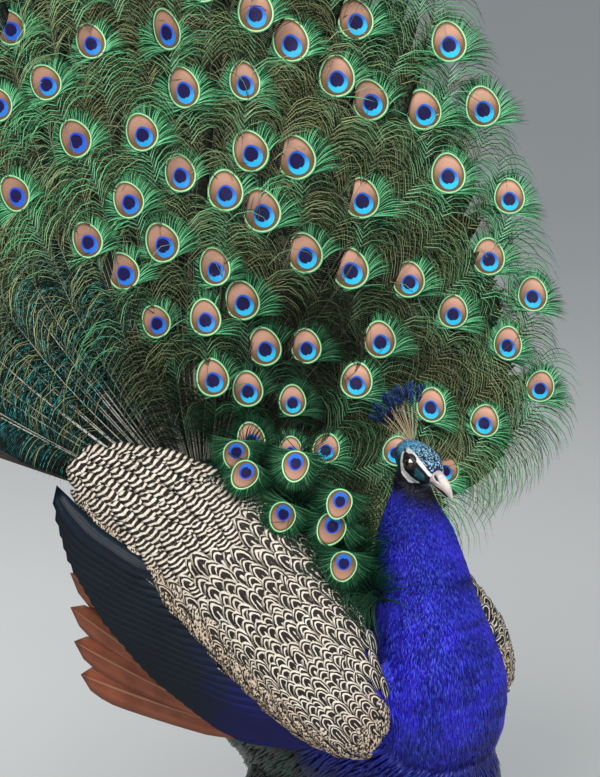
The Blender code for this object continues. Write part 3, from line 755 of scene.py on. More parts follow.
# Bill. Pale horn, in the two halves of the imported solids, darker along the ridge and gape. A
# soft cere with a dark slit nostril is grown over its base.
horn = Finish("pale_horn", Roughness=0.36, Coat_Weight=0.3)
point = horn.place()
ahead, _, rise = horn.head_place(point)
grain = horn.noise(300.0, detail=3.0, stretch=(1, 1, 2))
tint = horn.mix(grain, (0.50, 0.43, 0.40), (0.72, 0.65, 0.61))
tint = horn.mix(horn.smooth(ahead, 0.050, 0.060) * 0.6, tint, (0.24, 0.20, 0.19))
tint = horn.mix(horn.smooth(rise + ahead * 0.42, 0.0075, 0.0050) * 0.55, tint, (0.20, 0.16, 0.15))
tint = horn.mix(horn.smooth(ahead, 0.0430, 0.0350) * (0.35 + grain * 0.5), tint, (0.26, 0.23, 0.25))
past_slit = ahead - 0.0366
slit = horn.off(past_slit / 2.8, rise - 0.0008 + past_slit * 0.45)
tint = horn.mix(horn.smooth(slit, 0.0017, 0.0011), tint, (0.010, 0.008, 0.009))
gape = abs(rise + 0.0066 + (ahead - 0.029) * 0.26)
tint = horn.mix(horn.smooth(gape, 0.0009, 0.0004), tint, (0.020, 0.014, 0.013))
horn.set(Base_Color=tint).bump(grain - horn.smooth(slit, 0.0026, 0.0012) * 3.0, 0.6, 0.0005)
# Rows of it from the face: ahead, rise, half width and height.
CERE = (
    (0.0288, -0.0040, 0.0076, 0.0098), (0.0300, -0.0040, 0.0076, 0.0098),
    (0.0325, -0.0038, 0.0072, 0.0094), (0.0350, -0.0036, 0.0067, 0.0090),
    (0.0375, -0.0034, 0.0062, 0.0085), (0.0400, -0.0033, 0.0058, 0.0080))
CERE_AROUND = 25


def cere():
    """The soft base of the upper bill: a saddle over the face's end, thinned at both edges."""
    spin = np.radians(np.linspace(-12, 192, CERE_AROUND))
    upper, under = [], []
    for row, (ahead, rise, wide, tall) in enumerate(CERE):
        more = (0.0002, 0.0005, 0.0006, 0.0005, 0.0003, 0.0)[row]
        for sheet, add in ((upper, more), (under, -0.0014)):
            x, z = (wide + add) * np.cos(spin), (tall + add) * np.sin(spin)
            z = z + 0.0006 * np.exp(-((spin - math.pi / 2) / 0.30) ** 2) * (row > 1)
            sheet.append(
                on_head(ahead, 0, rise) + HEAD_RIGHT * x[:, None] + HEAD_UP * z[:, None])
    points = np.concatenate(upper + under)
    rows, faces, half = len(CERE), [], len(CERE) * CERE_AROUND
    for row in range(rows - 1):
        for j in range(CERE_AROUND - 1):
            a = row * CERE_AROUND + j
            b = a + CERE_AROUND
            faces.append((a, a + 1, b + 1, b))
            faces.append((half + a, half + b, half + b + 1, half + a + 1))
    for row in range(rows - 1):
        for j in (0, CERE_AROUND - 1):
            a = row * CERE_AROUND + j
            b = a + CERE_AROUND
            face = (a, b, half + b, half + a)
            faces.append(face if j == 0 else face[::-1])
    for j in range(CERE_AROUND - 1):
        for row in (0, rows - 1):
            a = row * CERE_AROUND + j
            face = (a, half + a, half + a + 1, a + 1)
            faces.append(face if row == 0 else face[::-1])
    return points, faces


points, faces = cere()
joined("cere", points[None], faces, {}, {}, horn)
dress(horn, "bill_upper", "bill_lower")

# Crest. Twenty-six bare pale shafts in a fan across the crown, each ending in a small brush of
# blue barbs, held in the skin of the crown.
CREST_ROOT = on_head(-0.0195, 0.0, 0.0145)
CREST_FIRST, CREST_LAST, CREST_REACH = math.radians(7), math.radians(91), 0.0625
FEATHERS_IN_CREST = 26
shaft_finish = Finish("crest_shaft", Roughness=0.5, Base_Color=(0.44, 0.31, 0.21))
brush = Finish("crest_brush", Roughness=0.4, Metallic=0.3)
along, tone = brush.mark("along"), brush.mark("tone")
brush.set(Base_Color=brush.mix(
    brush.smooth(tone + along * 0.45, 0.80, 1.30), (0.001, 0.003, 0.018), (0.02, 0.14, 0.55)))


def crest_shafts():
    """Paths of the shafts, fanned from front to back and spread a little to each side."""
    order = np.arange(FEATHERS_IN_CREST)
    share = np.linspace(0, 1, FEATHERS_IN_CREST)
    angle = CREST_FIRST + (CREST_LAST - CREST_FIRST) * share
    spread = np.sin(order * 2.4) * 0.16
    reach = CREST_REACH * (1 + 0.02 * share) * (0.96 + 0.04 * np.cos(order * 3.7))
    way = np.cos(angle)[:, None] * HEAD_UP - np.sin(angle)[:, None] * BEAK_WAY
    way = unit(way + HEAD_RIGHT * spread[:, None])
    base = CREST_ROOT + BEAK_WAY * (0.005 * (1 - share) - 0.0015)[:, None] - HEAD_UP * 0.002
    t = np.linspace(0, 1, 6)
    bow = (t * t)[None, :, None] * -0.003 * BEAK_WAY
    return base[:, None] + way[:, None] * (reach[:, None] * t)[..., None] + bow, way


paths, ways = crest_shafts()
number = len(paths)
side = unit(np.cross(ways, HEAD_RIGHT))
sides = np.repeat(side[:, None], 5, 1)
outs = np.repeat(np.tile(HEAD_RIGHT, (number, 1))[:, None], 5, 1)
thin = np.tile(np.linspace(0.00036, 0.00022, 5), (number, 1))
points = lofted(paths, sides, outs, thin, thin)
local = vane_map(5)
spots = np.column_stack((np.linspace(0.1, 0.9, number), np.full(number, 0.1)))
flat = spots[:, None] + (local * (0.02, 0.5))[None]
joined(
    "crest_shafts", points, loft_faces(5, 3), {"OFBake": flat},
    {"along": local[None, :, 1]}, shaft_finish, ("crest",))


def brush_barbs():
    """Barbs of the crest's brushes, leaving the top third of every shaft on both sides."""
    dice = np.random.default_rng(31)
    barbs, each = [], 90
    for path, way, s in zip(paths, ways, side):
        share = 0.73 + 0.26 * dice.uniform(0, 1, each) ** 0.8
        start = np.column_stack([np.interp(share, np.linspace(0, 1, 6), axis) for axis in path.T])
        angle = dice.uniform(-0.95, 0.95, each) * np.interp(share, (0.6, 1.0), (1.0, 0.55))
        twist = dice.uniform(-0.35, 0.35, each)
        go = way * np.cos(angle)[:, None] + s * np.sin(angle)[:, None] + HEAD_RIGHT * twist[:, None]
        go = unit(go)
        full = np.interp(share, (0.73, 0.85, 1.0), (0.55, 1.0, 0.70))
        length = dice.uniform(0.006, 0.0100, each) * full
        barbs.append((start, go, length))
    start, go, length = (np.concatenate([barb[k] for barb in barbs]) for k in range(3))
    return start, go, length, dice.uniform(0, 1, len(start))


start, go, length, tone_of = brush_barbs()
t = np.linspace(0, 1, 3)
bent = start[:, None] + go[:, None] * (length[:, None] * t)[..., None]
sides = np.repeat(unit(np.cross(go, HEAD_RIGHT))[:, None], 2, 1)
outs = np.repeat(unit(np.cross(sides[:, 0], go))[:, None], 2, 1)
wide = np.tile((0.00030, 0.00038), (len(start), 1))
points = lofted(bent, sides, outs, wide, wide * 0.5)
local = vane_map(2)
which = np.repeat(np.linspace(0.1, 0.9, number), len(start) // number)
up_map = np.linspace(0.62, 0.95, len(start)) % 0.33 + 0.62
flat = patch_map(np.column_stack((which + (tone_of - 0.5) * 0.03, up_map)), local)
joined(
    "crest_brushes", points, loft_faces(2, 3), {"OFBake": flat},
    {"along": local[None, :, 1], "tone": tone_of[:, None]}, brush)

# Wings. Each shoulder is shingled with broad short coverts, cream with dark bars, that grow
# longer to the rear; each is a thin vane rooted in the skin under the one before it.
# For each wing: the wrist end, the rear end, the way up across it and the rise of its middle.
WINGS = {
    "right": ((-0.106, -0.162, 0.478), (-0.218, 0.183, 0.744), (0.42, -0.40, 0.815), 0.046),
    "left": ((-0.096, -0.149, 0.506), (-0.181, 0.164, 0.553), (0.42, -0.24, 0.875), 0.026)}
BULGE = 0.030
# Half the shoulder's width at shares of its length.
SHIELD = (
    (0, .018), (.05, .042), (.16, .068), (.32, .080), (.50, .080), (.68, .071), (.84, .053),
    (.95, .030), (1, .010))
VANE = ((-1.0, 0.0), (0.0, 1.0), (1.0, 0.0), (0.0, -0.6))


def mirror_of(name):
    """Sizes are given for the right side; the left is the same turned over."""
    return np.array((1.0 if name == "right" else -1.0, 1.0, 1.0))


class Shield:
    """The lie of one wing's shoulder: from the wrist end to the rear, and across."""

    def __init__(self, name):
        start, end, across, self.rise = WINGS[name]
        self.way = -1.0 if name == "right" else 1.0
        mirror = mirror_of(name)
        self.start, self.end = np.array(start) * mirror, np.array(end) * mirror
        self.across = unit(np.array(across) * mirror)

    def middle(self, share):
        share = np.asarray(share, float)
        bow = np.sin(math.pi * share)[..., None]
        point = self.start + (self.end - self.start) * share[..., None]
        return point + self.across * self.rise * bow + np.array((self.way * BULGE, 0, 0)) * bow

    def half(self, share):
        return np.interp(share, [row[0] for row in SHIELD], [row[1] for row in SHIELD])

    def rear(self, share):
        return unit(self.middle(share + 0.01) - self.middle(share - 0.01))

    def out(self):
        """Away from the body, square to the shoulder."""
        return unit(np.cross(self.across, self.end - self.start) * -self.way)


def covert_places(shield, seed):
    """Roots in staggered rows over the outer face: share, across, length shown and half width."""
    dice = np.random.default_rng(seed)
    rows, share, odd = [], 0.004, False
    whole = np.linalg.norm(shield.end - shield.start)
    while share < 0.985:
        shown = float(np.interp(
            share, (0, 0.30, 0.55, 0.75, 1), (0.0085, 0.0115, 0.0165, 0.026, 0.024)))
        wide = float(np.interp(share, (0, 0.30, 0.60, 1), (0.0066, 0.0082, 0.0098, 0.0100)))
        half = float(shield.half(np.array(share))) + 0.002
        number = max(2, round(2 * half / (wide * 1.62)))
        for j in range(number + (1 if odd else 0)):
            across = -1.0 + (2.0 * j + (0.0 if odd else 1.0)) / number
            low = np.interp(across, (-1, -0.72, -0.4), (0.60, 0.72, 1.0))
            rows.append((
                share + dice.normal(0, 0.004), across + dice.normal(0, 0.03),
                shown * low, wide * low * dice.uniform(0.92, 1.10)))
            if low < 0.8:
                rows.append((
                    share + 0.45 * shown / whole, across + 0.4 / number, shown * low, wide * low))
        share += shown / whole
        odd = not odd
    return np.array(rows)


def on_tree(tree, points, outward, far=0.09):
    """Points carried to the surface that faces outward, with its normals."""
    found, normals = points.copy(), np.tile(outward, (len(points), 1))
    for index, point in enumerate(points):
        start = Vector(point + outward * far)
        hit, normal, _, _ = tree.ray_cast(start, Vector(-outward))
        if hit is None:
            hit, normal, _, _ = tree.find_nearest(Vector(point))
        found[index], normals[index] = hit, normal
    return found, normals


barred = Finish("barred_vanes", Roughness=0.65, Specular_IOR_Level=0.25)
across, along = barred.map("Vane")
tone, kind, buff = barred.mark("tone"), barred.mark("kind"), barred.mark("buff")
off = across * 2.0 - 1.0
wobble = (barred.noise(130.0, detail=3.0) - 0.5) * 0.40
past = barred.sum("MAXIMUM", along - 0.52, 0.0) / 0.48
deep = 1.0 - barred.sum("SQRT", past ** 2.0 + off ** 2.0 * 0.92) + wobble + (tone - 0.5) * 0.10
bands = (
    (0.0, 1), (0.11, 1), (0.15, 0), (0.32, 0), (0.36, 1), (0.47, 1), (0.52, 0), (0.92, 0),
    (0.96, 1))
arcs = barred.ramp(deep, *((place, (shade, shade, shade)) for place, shade in bands))
ladder = along * 7.6 + off * 0.50 + abs(off) * -0.35 + wobble * 1.5 + tone * 3.0
rungs = barred.smooth(barred.sum("SINE", ladder * (2 * math.pi)), 0.05, 0.40)
speckle = barred.smooth(barred.noise(520.0, detail=2.0, stretch=(1, 1, 0.6)), 0.46, 0.56)
pale = barred.mix(kind > (tone * 0.30 + 0.35), arcs, rungs)
pale = barred.mix(buff > (tone * 0.5 + 0.25), pale, speckle)
cream = barred.mix(barred.noise(40.0), (0.48, 0.40, 0.31), (0.78, 0.73, 0.64))
cream = barred.mix(buff * 0.7, cream, (0.40, 0.25, 0.14))
tint = barred.mix(pale, (0.012, 0.009, 0.008), cream)
rib = barred.smooth(abs(off), 0.05, 0.02) * kind
tint = barred.mix(rib * 0.6, tint, (0.20, 0.15, 0.11))
barred.set(Base_Color=tint)
grooves = barred.sum("SINE", (along * 1.0 + abs(off) * 0.35) * 160.0)
barred.bump(grooves, 0.25, 0.0003)
COVERT_STEPS = np.array((0, 0.18, 0.36, 0.52, 0.66, 0.78, 0.88, 0.955, 1.0))
SCALE = ((-1.0, 0.0), (-0.5, 0.8), (0.0, 1.0), (0.5, 0.8), (1.0, 0.0), (0.0, -0.3))


def coverts(name):
    shield = Shield(name)
    places = covert_places(shield, 5)
    share, across_share, shown, wide = places.T
    long = shown * 2.1 + 0.006
    tree, _ = tree_of(["wing_" + name])
    outward = shield.out()
    dice = np.random.default_rng(8)
    number, t = len(places), COVERT_STEPS
    steps = len(t) - 1
    sweep = np.interp(across_share, (-1, 0, 1), (0.20, 0.02, -0.14)) + dice.normal(0, 0.05, number)
    way = shield.rear(share) + shield.across * sweep[:, None]
    start = shield.middle(share) + shield.across * (shield.half(share) * across_share)[:, None]
    root, normal = on_tree(tree, start, outward)
    way = lie_way(root, normal, way)
    root = root - way * (long * 0.55)[:, None]
    flat_path = root[:, None] + way[:, None] * (long[:, None] * t)[..., None]
    hugging, out_normal = on_tree(tree, flat_path.reshape(-1, 3), outward)
    hugging, out_normal = hugging.reshape(flat_path.shape), out_normal.reshape(flat_path.shape)
    gap = np.linalg.norm(hugging - flat_path, axis=2) > 0.010
    hugging[gap], out_normal[gap] = flat_path[gap], np.repeat(normal[:, None], steps + 1, 1)[gap]
    out_normal = unit(out_normal * 0.5 + out_normal.mean(axis=1, keepdims=True))
    lift = -0.0022 + 0.0026 * t ** 0.8 + 0.0004 * dice.normal(0, 1, number)[:, None] * t
    path = hugging + out_normal * lift[..., None]
    sides, ups = vane_axes(path, out_normal[:, :-1])
    width = wide[:, None] * np.array((.55, .85, .97, 1, .955, .84, .66, .42))[None]
    points = lofted(path, sides, ups, width, np.full_like(width, 0.0006), SCALE)
    local = vane_map(steps, SCALE, t)
    spot = np.column_stack((share * 0.45, across_share * shield.half(share)))
    maps = {"OFBake": patch_map(spot / 0.5 + (0.05, 0.5), local), "Vane": local}
    kind = np.clip((share - 0.34) / 0.40 + 0.12 * across_share, 0, 1)
    buff = np.interp(across_share, (-1.05, -0.75, -0.5), (1.0, 0.7, 0.0))
    buff = buff * np.interp(share, (0.0, 0.8, 1.0), (1, 0.8, 0.2))
    buff = np.maximum(buff, np.interp(share, (0.0, 0.05, 0.10), (0.8, 0.3, 0.0)))
    tone = dice.uniform(0, 1, number)
    marks = {"tone": tone[:, None], "kind": kind[:, None], "buff": buff[:, None]}
    joined(
        "coverts_" + name, points, loft_faces(steps, len(SCALE)), maps, marks, barred)


for wing in ("right", "left"):
    coverts(wing)

# Quills. The long feathers of wing and tail: a closed vane with a raised shaft down its middle
# and fine barbs ruled across it, rooted under the coverts.
QUILL = (
    (-1.0, 0.0), (-0.45, 0.35), (-0.06, 0.30), (0.0, 1.0), (0.06, 0.30), (0.45, 0.35), (1.0, 0.0),
    (0.0, -0.3))


def quill_finish(name, vane_colour, edge_colour, shaft_colour, roughness, metallic=0.0, front=None):
    """Barbs ruled outwards from a paler shaft, with the colour drifting over the vane; front, if
    given, is the colour of a painted blue sheen towards the front of the wing.
    """
    finish = Finish(name, Roughness=roughness, Metallic=metallic, Specular_IOR_Level=0.3)
    across, along = finish.map("Vane")
    off = abs(across - 0.5) * 2.0
    ruled = finish.sum("SINE", (along * 14.0 - off * 1.6) * 42.0)
    drift = finish.noise(30.0, detail=3.0)
    tint = finish.mix(finish.smooth(drift + off * 0.3, 0.35, 0.85), vane_colour, edge_colour)
    # front: a painted blue sheen, laid over the vane towards the front of the wing.
    if front:
        ahead = finish.along(finish.place(), (0, 1, 0)) + (drift - 0.5) * 0.10
        tint = finish.mix(finish.smooth(ahead, 0.020, -0.060) * (0.5 + drift * 0.6), tint, front)
    tint = finish.mix((ruled * 0.5 + 0.5) * 0.25, tint, (0.0, 0.0, 0.0))
    tint = finish.mix(finish.smooth(off, 0.075, 0.045), tint, shaft_colour)
    finish.set(Base_Color=tint).bump(ruled, 0.3, 0.0003)
    return finish


def quills(name, paths, outs, half, finish, nodes, spots, thick=0.0011, tip=0.55):
    """Long vanes along paths of points; outs faces their upper side."""
    number, count = paths.shape[:2]
    steps = count - 1
    sides, ups = vane_axes(paths, outs[:, :-1])
    t = np.linspace(0, 1, count)[:-1]
    shape = np.interp(t, (0, .08, .3, .8, .92, 1), (.10, .45, .85, 1.0, .82, tip))
    width = np.asarray(half).reshape(-1, 1) * shape[None]
    points = lofted(paths, sides, ups, width, np.full_like(width, thick), QUILL)
    local = vane_map(steps, QUILL)
    flat = spots[:, None] + local[None] * (0.030, 0.85)
    joined(
        name, points, loft_faces(steps, len(QUILL)), {"OFBake": flat, "Vane": local}, {}, finish,
        nodes)


def spots_for(number):
    """Side by side places on a quill piece's own flat map."""
    return np.column_stack((0.02 + np.arange(number) * 0.94 / number, np.full(number, 0.06)))


# The blue-black quills carry a painted blue sheen towards the front of the wing.
blue_black = quill_finish(
    "blue_black_quill", (0.002, 0.004, 0.014), (0.002, 0.012, 0.024), (0.003, 0.005, 0.010), 0.42,
    0.1, front=(0.004, 0.005, 0.16))
SECONDARY_REACH = 0.060


def secondaries(name, number=26):
    shield = Shield(name)
    tip_share = np.linspace(0.30, 0.995, number)
    root_share = np.clip(tip_share - 0.55, 0.04, 1)
    place = (tip_share - 0.16) / 0.83
    drop = SECONDARY_REACH * np.sin(math.pi * (0.06 + 0.88 * place)) ** 0.6
    t = np.linspace(0, 1, 17)
    share = root_share[:, None] + (tip_share - root_share)[:, None] * t
    over = shield.half(share) * np.interp(t, (0, 0.45, 1), (0.15, 0.72, 1.0))[None]
    down = over + (drop[:, None] * np.interp(t, (0, 0.4, 1), (-0.1, 0.35, 0.93))[None])
    paths = shield.middle(share) - shield.across * down[..., None]
    out = shield.out()
    layer = (np.arange(number) - number / 2) * 0.0004
    paths = paths + out * (layer[:, None] + 0.002 - 0.0035 * t[None] ** 2)[..., None]
    outs = np.tile(out, (*paths.shape[:2], 1))
    half = np.interp(tip_share, (0.3, 0.6, 1.0), (0.016, 0.020, 0.014))
    quills(
        "secondary_quills_" + name, paths, outs, half, blue_black,
        ("secondaries_" + name,), spots_for(number), tip=0.30)


for wing in ("right", "left"):
    secondaries(wing)

rufous = quill_finish(
    "rufous_quill", (0.20, 0.045, 0.016), (0.32, 0.085, 0.036), (0.34, 0.16, 0.09), 0.50)
WRIST = np.array((-0.146, -0.046, 0.470))
PRIMARY_ANGLES = {"right": (-1, 43), "left": (-34, 12)}
PRIMARY_REACH, PRIMARY_LEAN = 0.335, -0.16


def primaries(name, number=6):
    low, high = np.radians(PRIMARY_ANGLES[name])
    share = (np.arange(number) + 0.5) / number
    angle = low + (high - low) * share
    mirror = mirror_of(name)
    way = np.column_stack((np.full(number, PRIMARY_LEAN), np.cos(angle), np.sin(angle))) * mirror
    reach = PRIMARY_REACH * (0.80 + 0.20 * share)
    t = np.linspace(0, 1, 17)
    paths = WRIST * mirror + way[:, None] * (reach[:, None] * (0.03 + 0.96 * t))[..., None]
    out = np.array((-1.0, -PRIMARY_LEAN, 0)) * mirror
    layer = (share - 0.5) * 0.006
    curl = -0.012 * t[None] ** 2 + layer[:, None]
    paths = paths + unit(out) * curl[..., None] + np.array((0, 0, 0.010)) * (t * t)[None, :, None]
    outs = np.tile(out, (*paths.shape[:2], 1))
    quills(
        "primary_quills_" + name, paths, outs, np.full(number, 0.0205), rufous,
        ("primaries_" + name,), spots_for(number), tip=0.20)


for wing in ("right", "left"):
    primaries(wing)

# Tail. Twenty-two short stiff quills, dull grey-brown, in an upright fan behind the train. They
# are rooted in the rump under it and prop it up.
TAIL_ROOT = np.array((0.0, 0.262, 0.648))
TAIL_TILT, TAIL_HALF_SPREAD, TAIL_REACH, TAIL_COUNT = math.radians(22), math.radians(66), 0.40, 22
grey_brown = quill_finish(
    "grey_brown_quill", (0.10, 0.075, 0.072), (0.17, 0.13, 0.12), (0.36, 0.30, 0.25), 0.6)
angle = np.linspace(-1, 1, TAIL_COUNT) * TAIL_HALF_SPREAD * 0.96
tail_up = np.array((0, math.sin(TAIL_TILT), math.cos(TAIL_TILT)))
tail_back = np.array((0, math.cos(TAIL_TILT), -math.sin(TAIL_TILT)))
way = np.sin(angle)[:, None] * np.array((1.0, 0, 0)) + np.cos(angle)[:, None] * tail_up
t = np.linspace(0, 1, 17)
paths = TAIL_ROOT + way[:, None] * (0.02 + (TAIL_REACH - 0.022) * t)[None, :, None]
layer = 0.0028 * (0.5 - np.abs(np.linspace(-1, 1, TAIL_COUNT)))
paths = paths + tail_back * (layer[:, None] + 0.004 * (t * t)[None])[..., None]
quills(
    "tail_quills", paths, np.tile(tail_back, (*paths.shape[:2], 1)), np.full(TAIL_COUNT, 0.023),
    grey_brown, ("tail",), spots_for(TAIL_COUNT))

# Legs. Bare grey-brown shanks and feet, covered in rows of small horny scutes with darker skin
# between them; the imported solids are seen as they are.
scutes = Finish("grey_brown_scutes", Roughness=0.62)
cells = scutes.node(
    "ShaderNodeTexVoronoi", {"feature": "DISTANCE_TO_EDGE"},
    {"Vector": scutes.vector("MULTIPLY", scutes.place(), (1, 1, 0.8)), "Scale": 260.0})
gap = scutes.smooth(cells, 0.02, 0.14)
tint = scutes.mix(scutes.noise(80.0), (0.17, 0.145, 0.125), (0.26, 0.225, 0.19))
scutes.set(Base_Color=scutes.mix(gap, (0.06, 0.05, 0.045), tint)).bump(gap, 0.6, 0.0006)
dress(scutes, "shank_right", "foot_right", "shank_left", "foot_left")

# Train. Some hundred and fifty long coverts, fanned from the rump and rooted in the back over
# the tail. Each has a pale shaft with loose barbs that arch to both sides, and most end in an
# eye of close barbs; the shortest lie in front.
TRAIN_ROOT = np.array((0.0, 0.205, 0.640))
TRAIN_TILT = math.radians(12)
TRAIN_FIRST, TRAIN_LAST = math.radians(-63), math.radians(99)
TRAIN_HALF_WIDTH, TRAIN_HEIGHT = 0.605, 0.880
TRAIN_EDGE_FALL = math.radians(17)
TRAIN_SLOPE, TRAIN_ARCH = -0.10, 0.31
TRAIN_UP = np.array((0, math.sin(TRAIN_TILT), math.cos(TRAIN_TILT)))
TRAIN_FORWARD = np.array((0, -math.cos(TRAIN_TILT), math.sin(TRAIN_TILT)))
SIDEWAYS = np.array((1.0, 0.0, 0.0))
EYE_HALF_WIDE, EYE_HALF_LONG = 0.0196, 0.0220
BEND = 0.11


def outline(angle):
    """Reach of the longest feathers at an angle."""
    wide, tall = TRAIN_HALF_WIDTH, TRAIN_HEIGHT
    ellipse = wide * tall / np.hypot(wide * np.cos(angle), tall * np.sin(angle))
    inside = np.minimum(angle - TRAIN_FIRST, TRAIN_LAST - angle) / TRAIN_EDGE_FALL
    return ellipse * (1 - 0.26 * np.maximum(0.0, 1 - inside) ** 2)


def ray_way(angle):
    return np.sin(angle)[..., None] * SIDEWAYS + np.cos(angle)[..., None] * TRAIN_UP


def dish(angle, reach, lift=0.0):
    """A point of the fan's dish, lifted forward from it."""
    arch = TRAIN_SLOPE * reach + TRAIN_ARCH * reach ** 2 + lift
    point = TRAIN_ROOT + ray_way(angle) * np.asarray(reach)[..., None]
    return point + TRAIN_FORWARD * arch[..., None]


def dish_out(angle, reach):
    """The forward side of the dish, square to it along the ray."""
    return unit(TRAIN_FORWARD - ray_way(angle) * (TRAIN_SLOPE + 2 * TRAIN_ARCH * reach)[..., None])


def fan_map(angle, reach):
    """The place of a root on a flat polar unwrap of the fan."""
    flat = np.stack((np.sin(angle), np.cos(angle)), -1) * np.asarray(reach)[..., None]
    return flat / 1.25 + (0.5, 0.18)


def scattered_eyes(seed=3, tries=9000):
    """Angles and reaches of the eyes, evenly scattered but for the room the near edge leaves."""
    dice = np.random.default_rng(seed)
    angle = dice.uniform(TRAIN_FIRST + 0.02, TRAIN_LAST - 0.02, tries)
    reach = np.sqrt(dice.uniform(0, 1, tries)) * (outline(angle) - 0.028)
    degrees = np.degrees(angle)
    least = np.interp(
        degrees, (-69, -32, -22, 0, 12, 34, 99), (0.44, 0.44, 0.29, 0.21, 0.15, 0.10, 0.11))
    space = np.interp(reach, (0.08, 0.20, 0.34, 0.60), (0.045, 0.058, 0.069, 0.073))
    kept = []
    for index in np.nonzero(reach > least)[0]:
        point = (reach[index] * math.sin(angle[index]), reach[index] * math.cos(angle[index]))
        if all(math.dist(point, other) > space[index] for other, _ in kept):
            kept.append((point, index))
    chosen = np.array([index for _, index in kept])
    return angle[chosen], reach[chosen]


dice = np.random.default_rng(21)
eye_angle, eye_reach = scattered_eyes()
EYES_IN_TRAIN = len(eye_angle)
edge = outline(eye_angle)
eye_lift = 0.026 + 0.040 * (1 - eye_reach / edge) + dice.uniform(-0.006, 0.006, EYES_IN_TRAIN)
middle_share = np.exp(-((np.degrees(eye_angle) - 32) / 40) ** 2)
eye_size = (0.84 + 0.26 * middle_share) * np.interp(eye_reach, (0.10, 0.32, 0.6), (0.78, 1.0, 1.0))
eye_size = eye_size * dice.uniform(0.93, 1.07, EYES_IN_TRAIN)

RIM_FEATHERS = 34
rim_angle = np.linspace(TRAIN_FIRST + 0.03, TRAIN_LAST - 0.03, RIM_FEATHERS)
rim_angle = rim_angle + dice.normal(0, 0.02, RIM_FEATHERS)
rim_reach = outline(rim_angle) - 0.010 - dice.uniform(0, 0.03, RIM_FEATHERS)

# The shortest eyed feathers hang from the back over the upper edge of the right wing: the place
# of each along that edge and its height over it.
SKIRT = (
    (0.61, 0.034), (0.585, 0.018), (0.43, 0.070), (0.47, 0.004), (0.31, 0.046), (0.265, 0.026),
    (0.28, 0.085))
shoulder = Shield("right")
skirt_share, skirt_over = np.array(SKIRT).T
skirt_top = shoulder.middle(skirt_share) + shoulder.across * shoulder.half(skirt_share)[:, None]
skirt_centre = skirt_top + np.array((0, 0, 1.0)) * skirt_over[:, None] - VIEW_WAY * 0.014
SKIRTS = len(SKIRT)
EYED = EYES_IN_TRAIN + SKIRTS
eye_size = np.concatenate((eye_size, dice.uniform(0.66, 0.80, SKIRTS)))
eye_angle = np.concatenate((eye_angle, np.radians(15 + 18.0 * np.arange(SKIRTS) / SKIRTS)))
eye_reach = np.concatenate((eye_reach, 0.03 + 0.008 * np.arange(SKIRTS)))
eye_lift = np.concatenate((eye_lift, np.zeros(SKIRTS)))

# Eyeless ones hang with them, their tips over the wing's edge.
HUNG_PLAIN = 22
plain_share = np.linspace(0.20, 0.66, HUNG_PLAIN) + dice.normal(0, 0.008, HUNG_PLAIN)
plain_over = shoulder.half(plain_share) * dice.uniform(0.80, 1.12, HUNG_PLAIN)
plain_tip = shoulder.middle(plain_share) + shoulder.across * plain_over[:, None] - VIEW_WAY * 0.012
hung = np.concatenate((np.arange(EYES_IN_TRAIN, EYED), EYED + RIM_FEATHERS + np.arange(HUNG_PLAIN)))
hung_tip = np.concatenate((skirt_centre, plain_tip))
shaft_angle = np.concatenate((eye_angle, rim_angle, np.radians(np.linspace(12, 36, HUNG_PLAIN))))
shaft_reach = np.concatenate((eye_reach, rim_reach, np.linspace(0.022, 0.046, HUNG_PLAIN)))
shaft_lift = np.concatenate((eye_lift, np.full(RIM_FEATHERS, 0.004), np.zeros(HUNG_PLAIN)))


def end_ways(angle, dice):
    """Which way each feather's end points and faces: up and leaning back, spread at the rims."""
    degrees = np.degrees(angle)
    lateral = np.interp(
        degrees, (-63, -45, -20, 10, 50, 70, 80, 90, 99),
        (-1.7, -1.0, -0.46, -0.06, 0.0, 0.22, 0.42, 0.66, 0.85))
    lateral = lateral + dice.normal(0, 0.10, len(angle))
    back = 0.30 + dice.normal(0, 0.05, len(angle))
    way = np.column_stack((lateral, back, np.full(len(angle), 0.94)))
    turned = np.radians(np.interp(degrees, (-63, -20, 10, 32, 99), (2, 10, 24, 38, 42)))
    turned = turned + dice.normal(0, 0.12, len(angle))
    facing = np.column_stack((-np.sin(turned), -np.cos(turned), np.full(len(angle), 0.12)))
    way[hung] = np.array((-0.35, 0.20, -0.90)) + dice.normal(0, 0.16, (len(hung), 3))
    facing[hung] = -VIEW_WAY + dice.normal(0, 0.12, (len(hung), 3))
    way = unit(way)
    side = unit(np.cross(way, facing))
    return way, side, unit(np.cross(side, way))


FINE = 40
end_way, end_side, end_out = end_ways(shaft_angle, np.random.default_rng(22))


def arc(start, middle, end, t):
    """A curve from start to end that leans towards middle."""
    return (1 - t) ** 2 * start + 2 * t * (1 - t) * middle + t * t * end


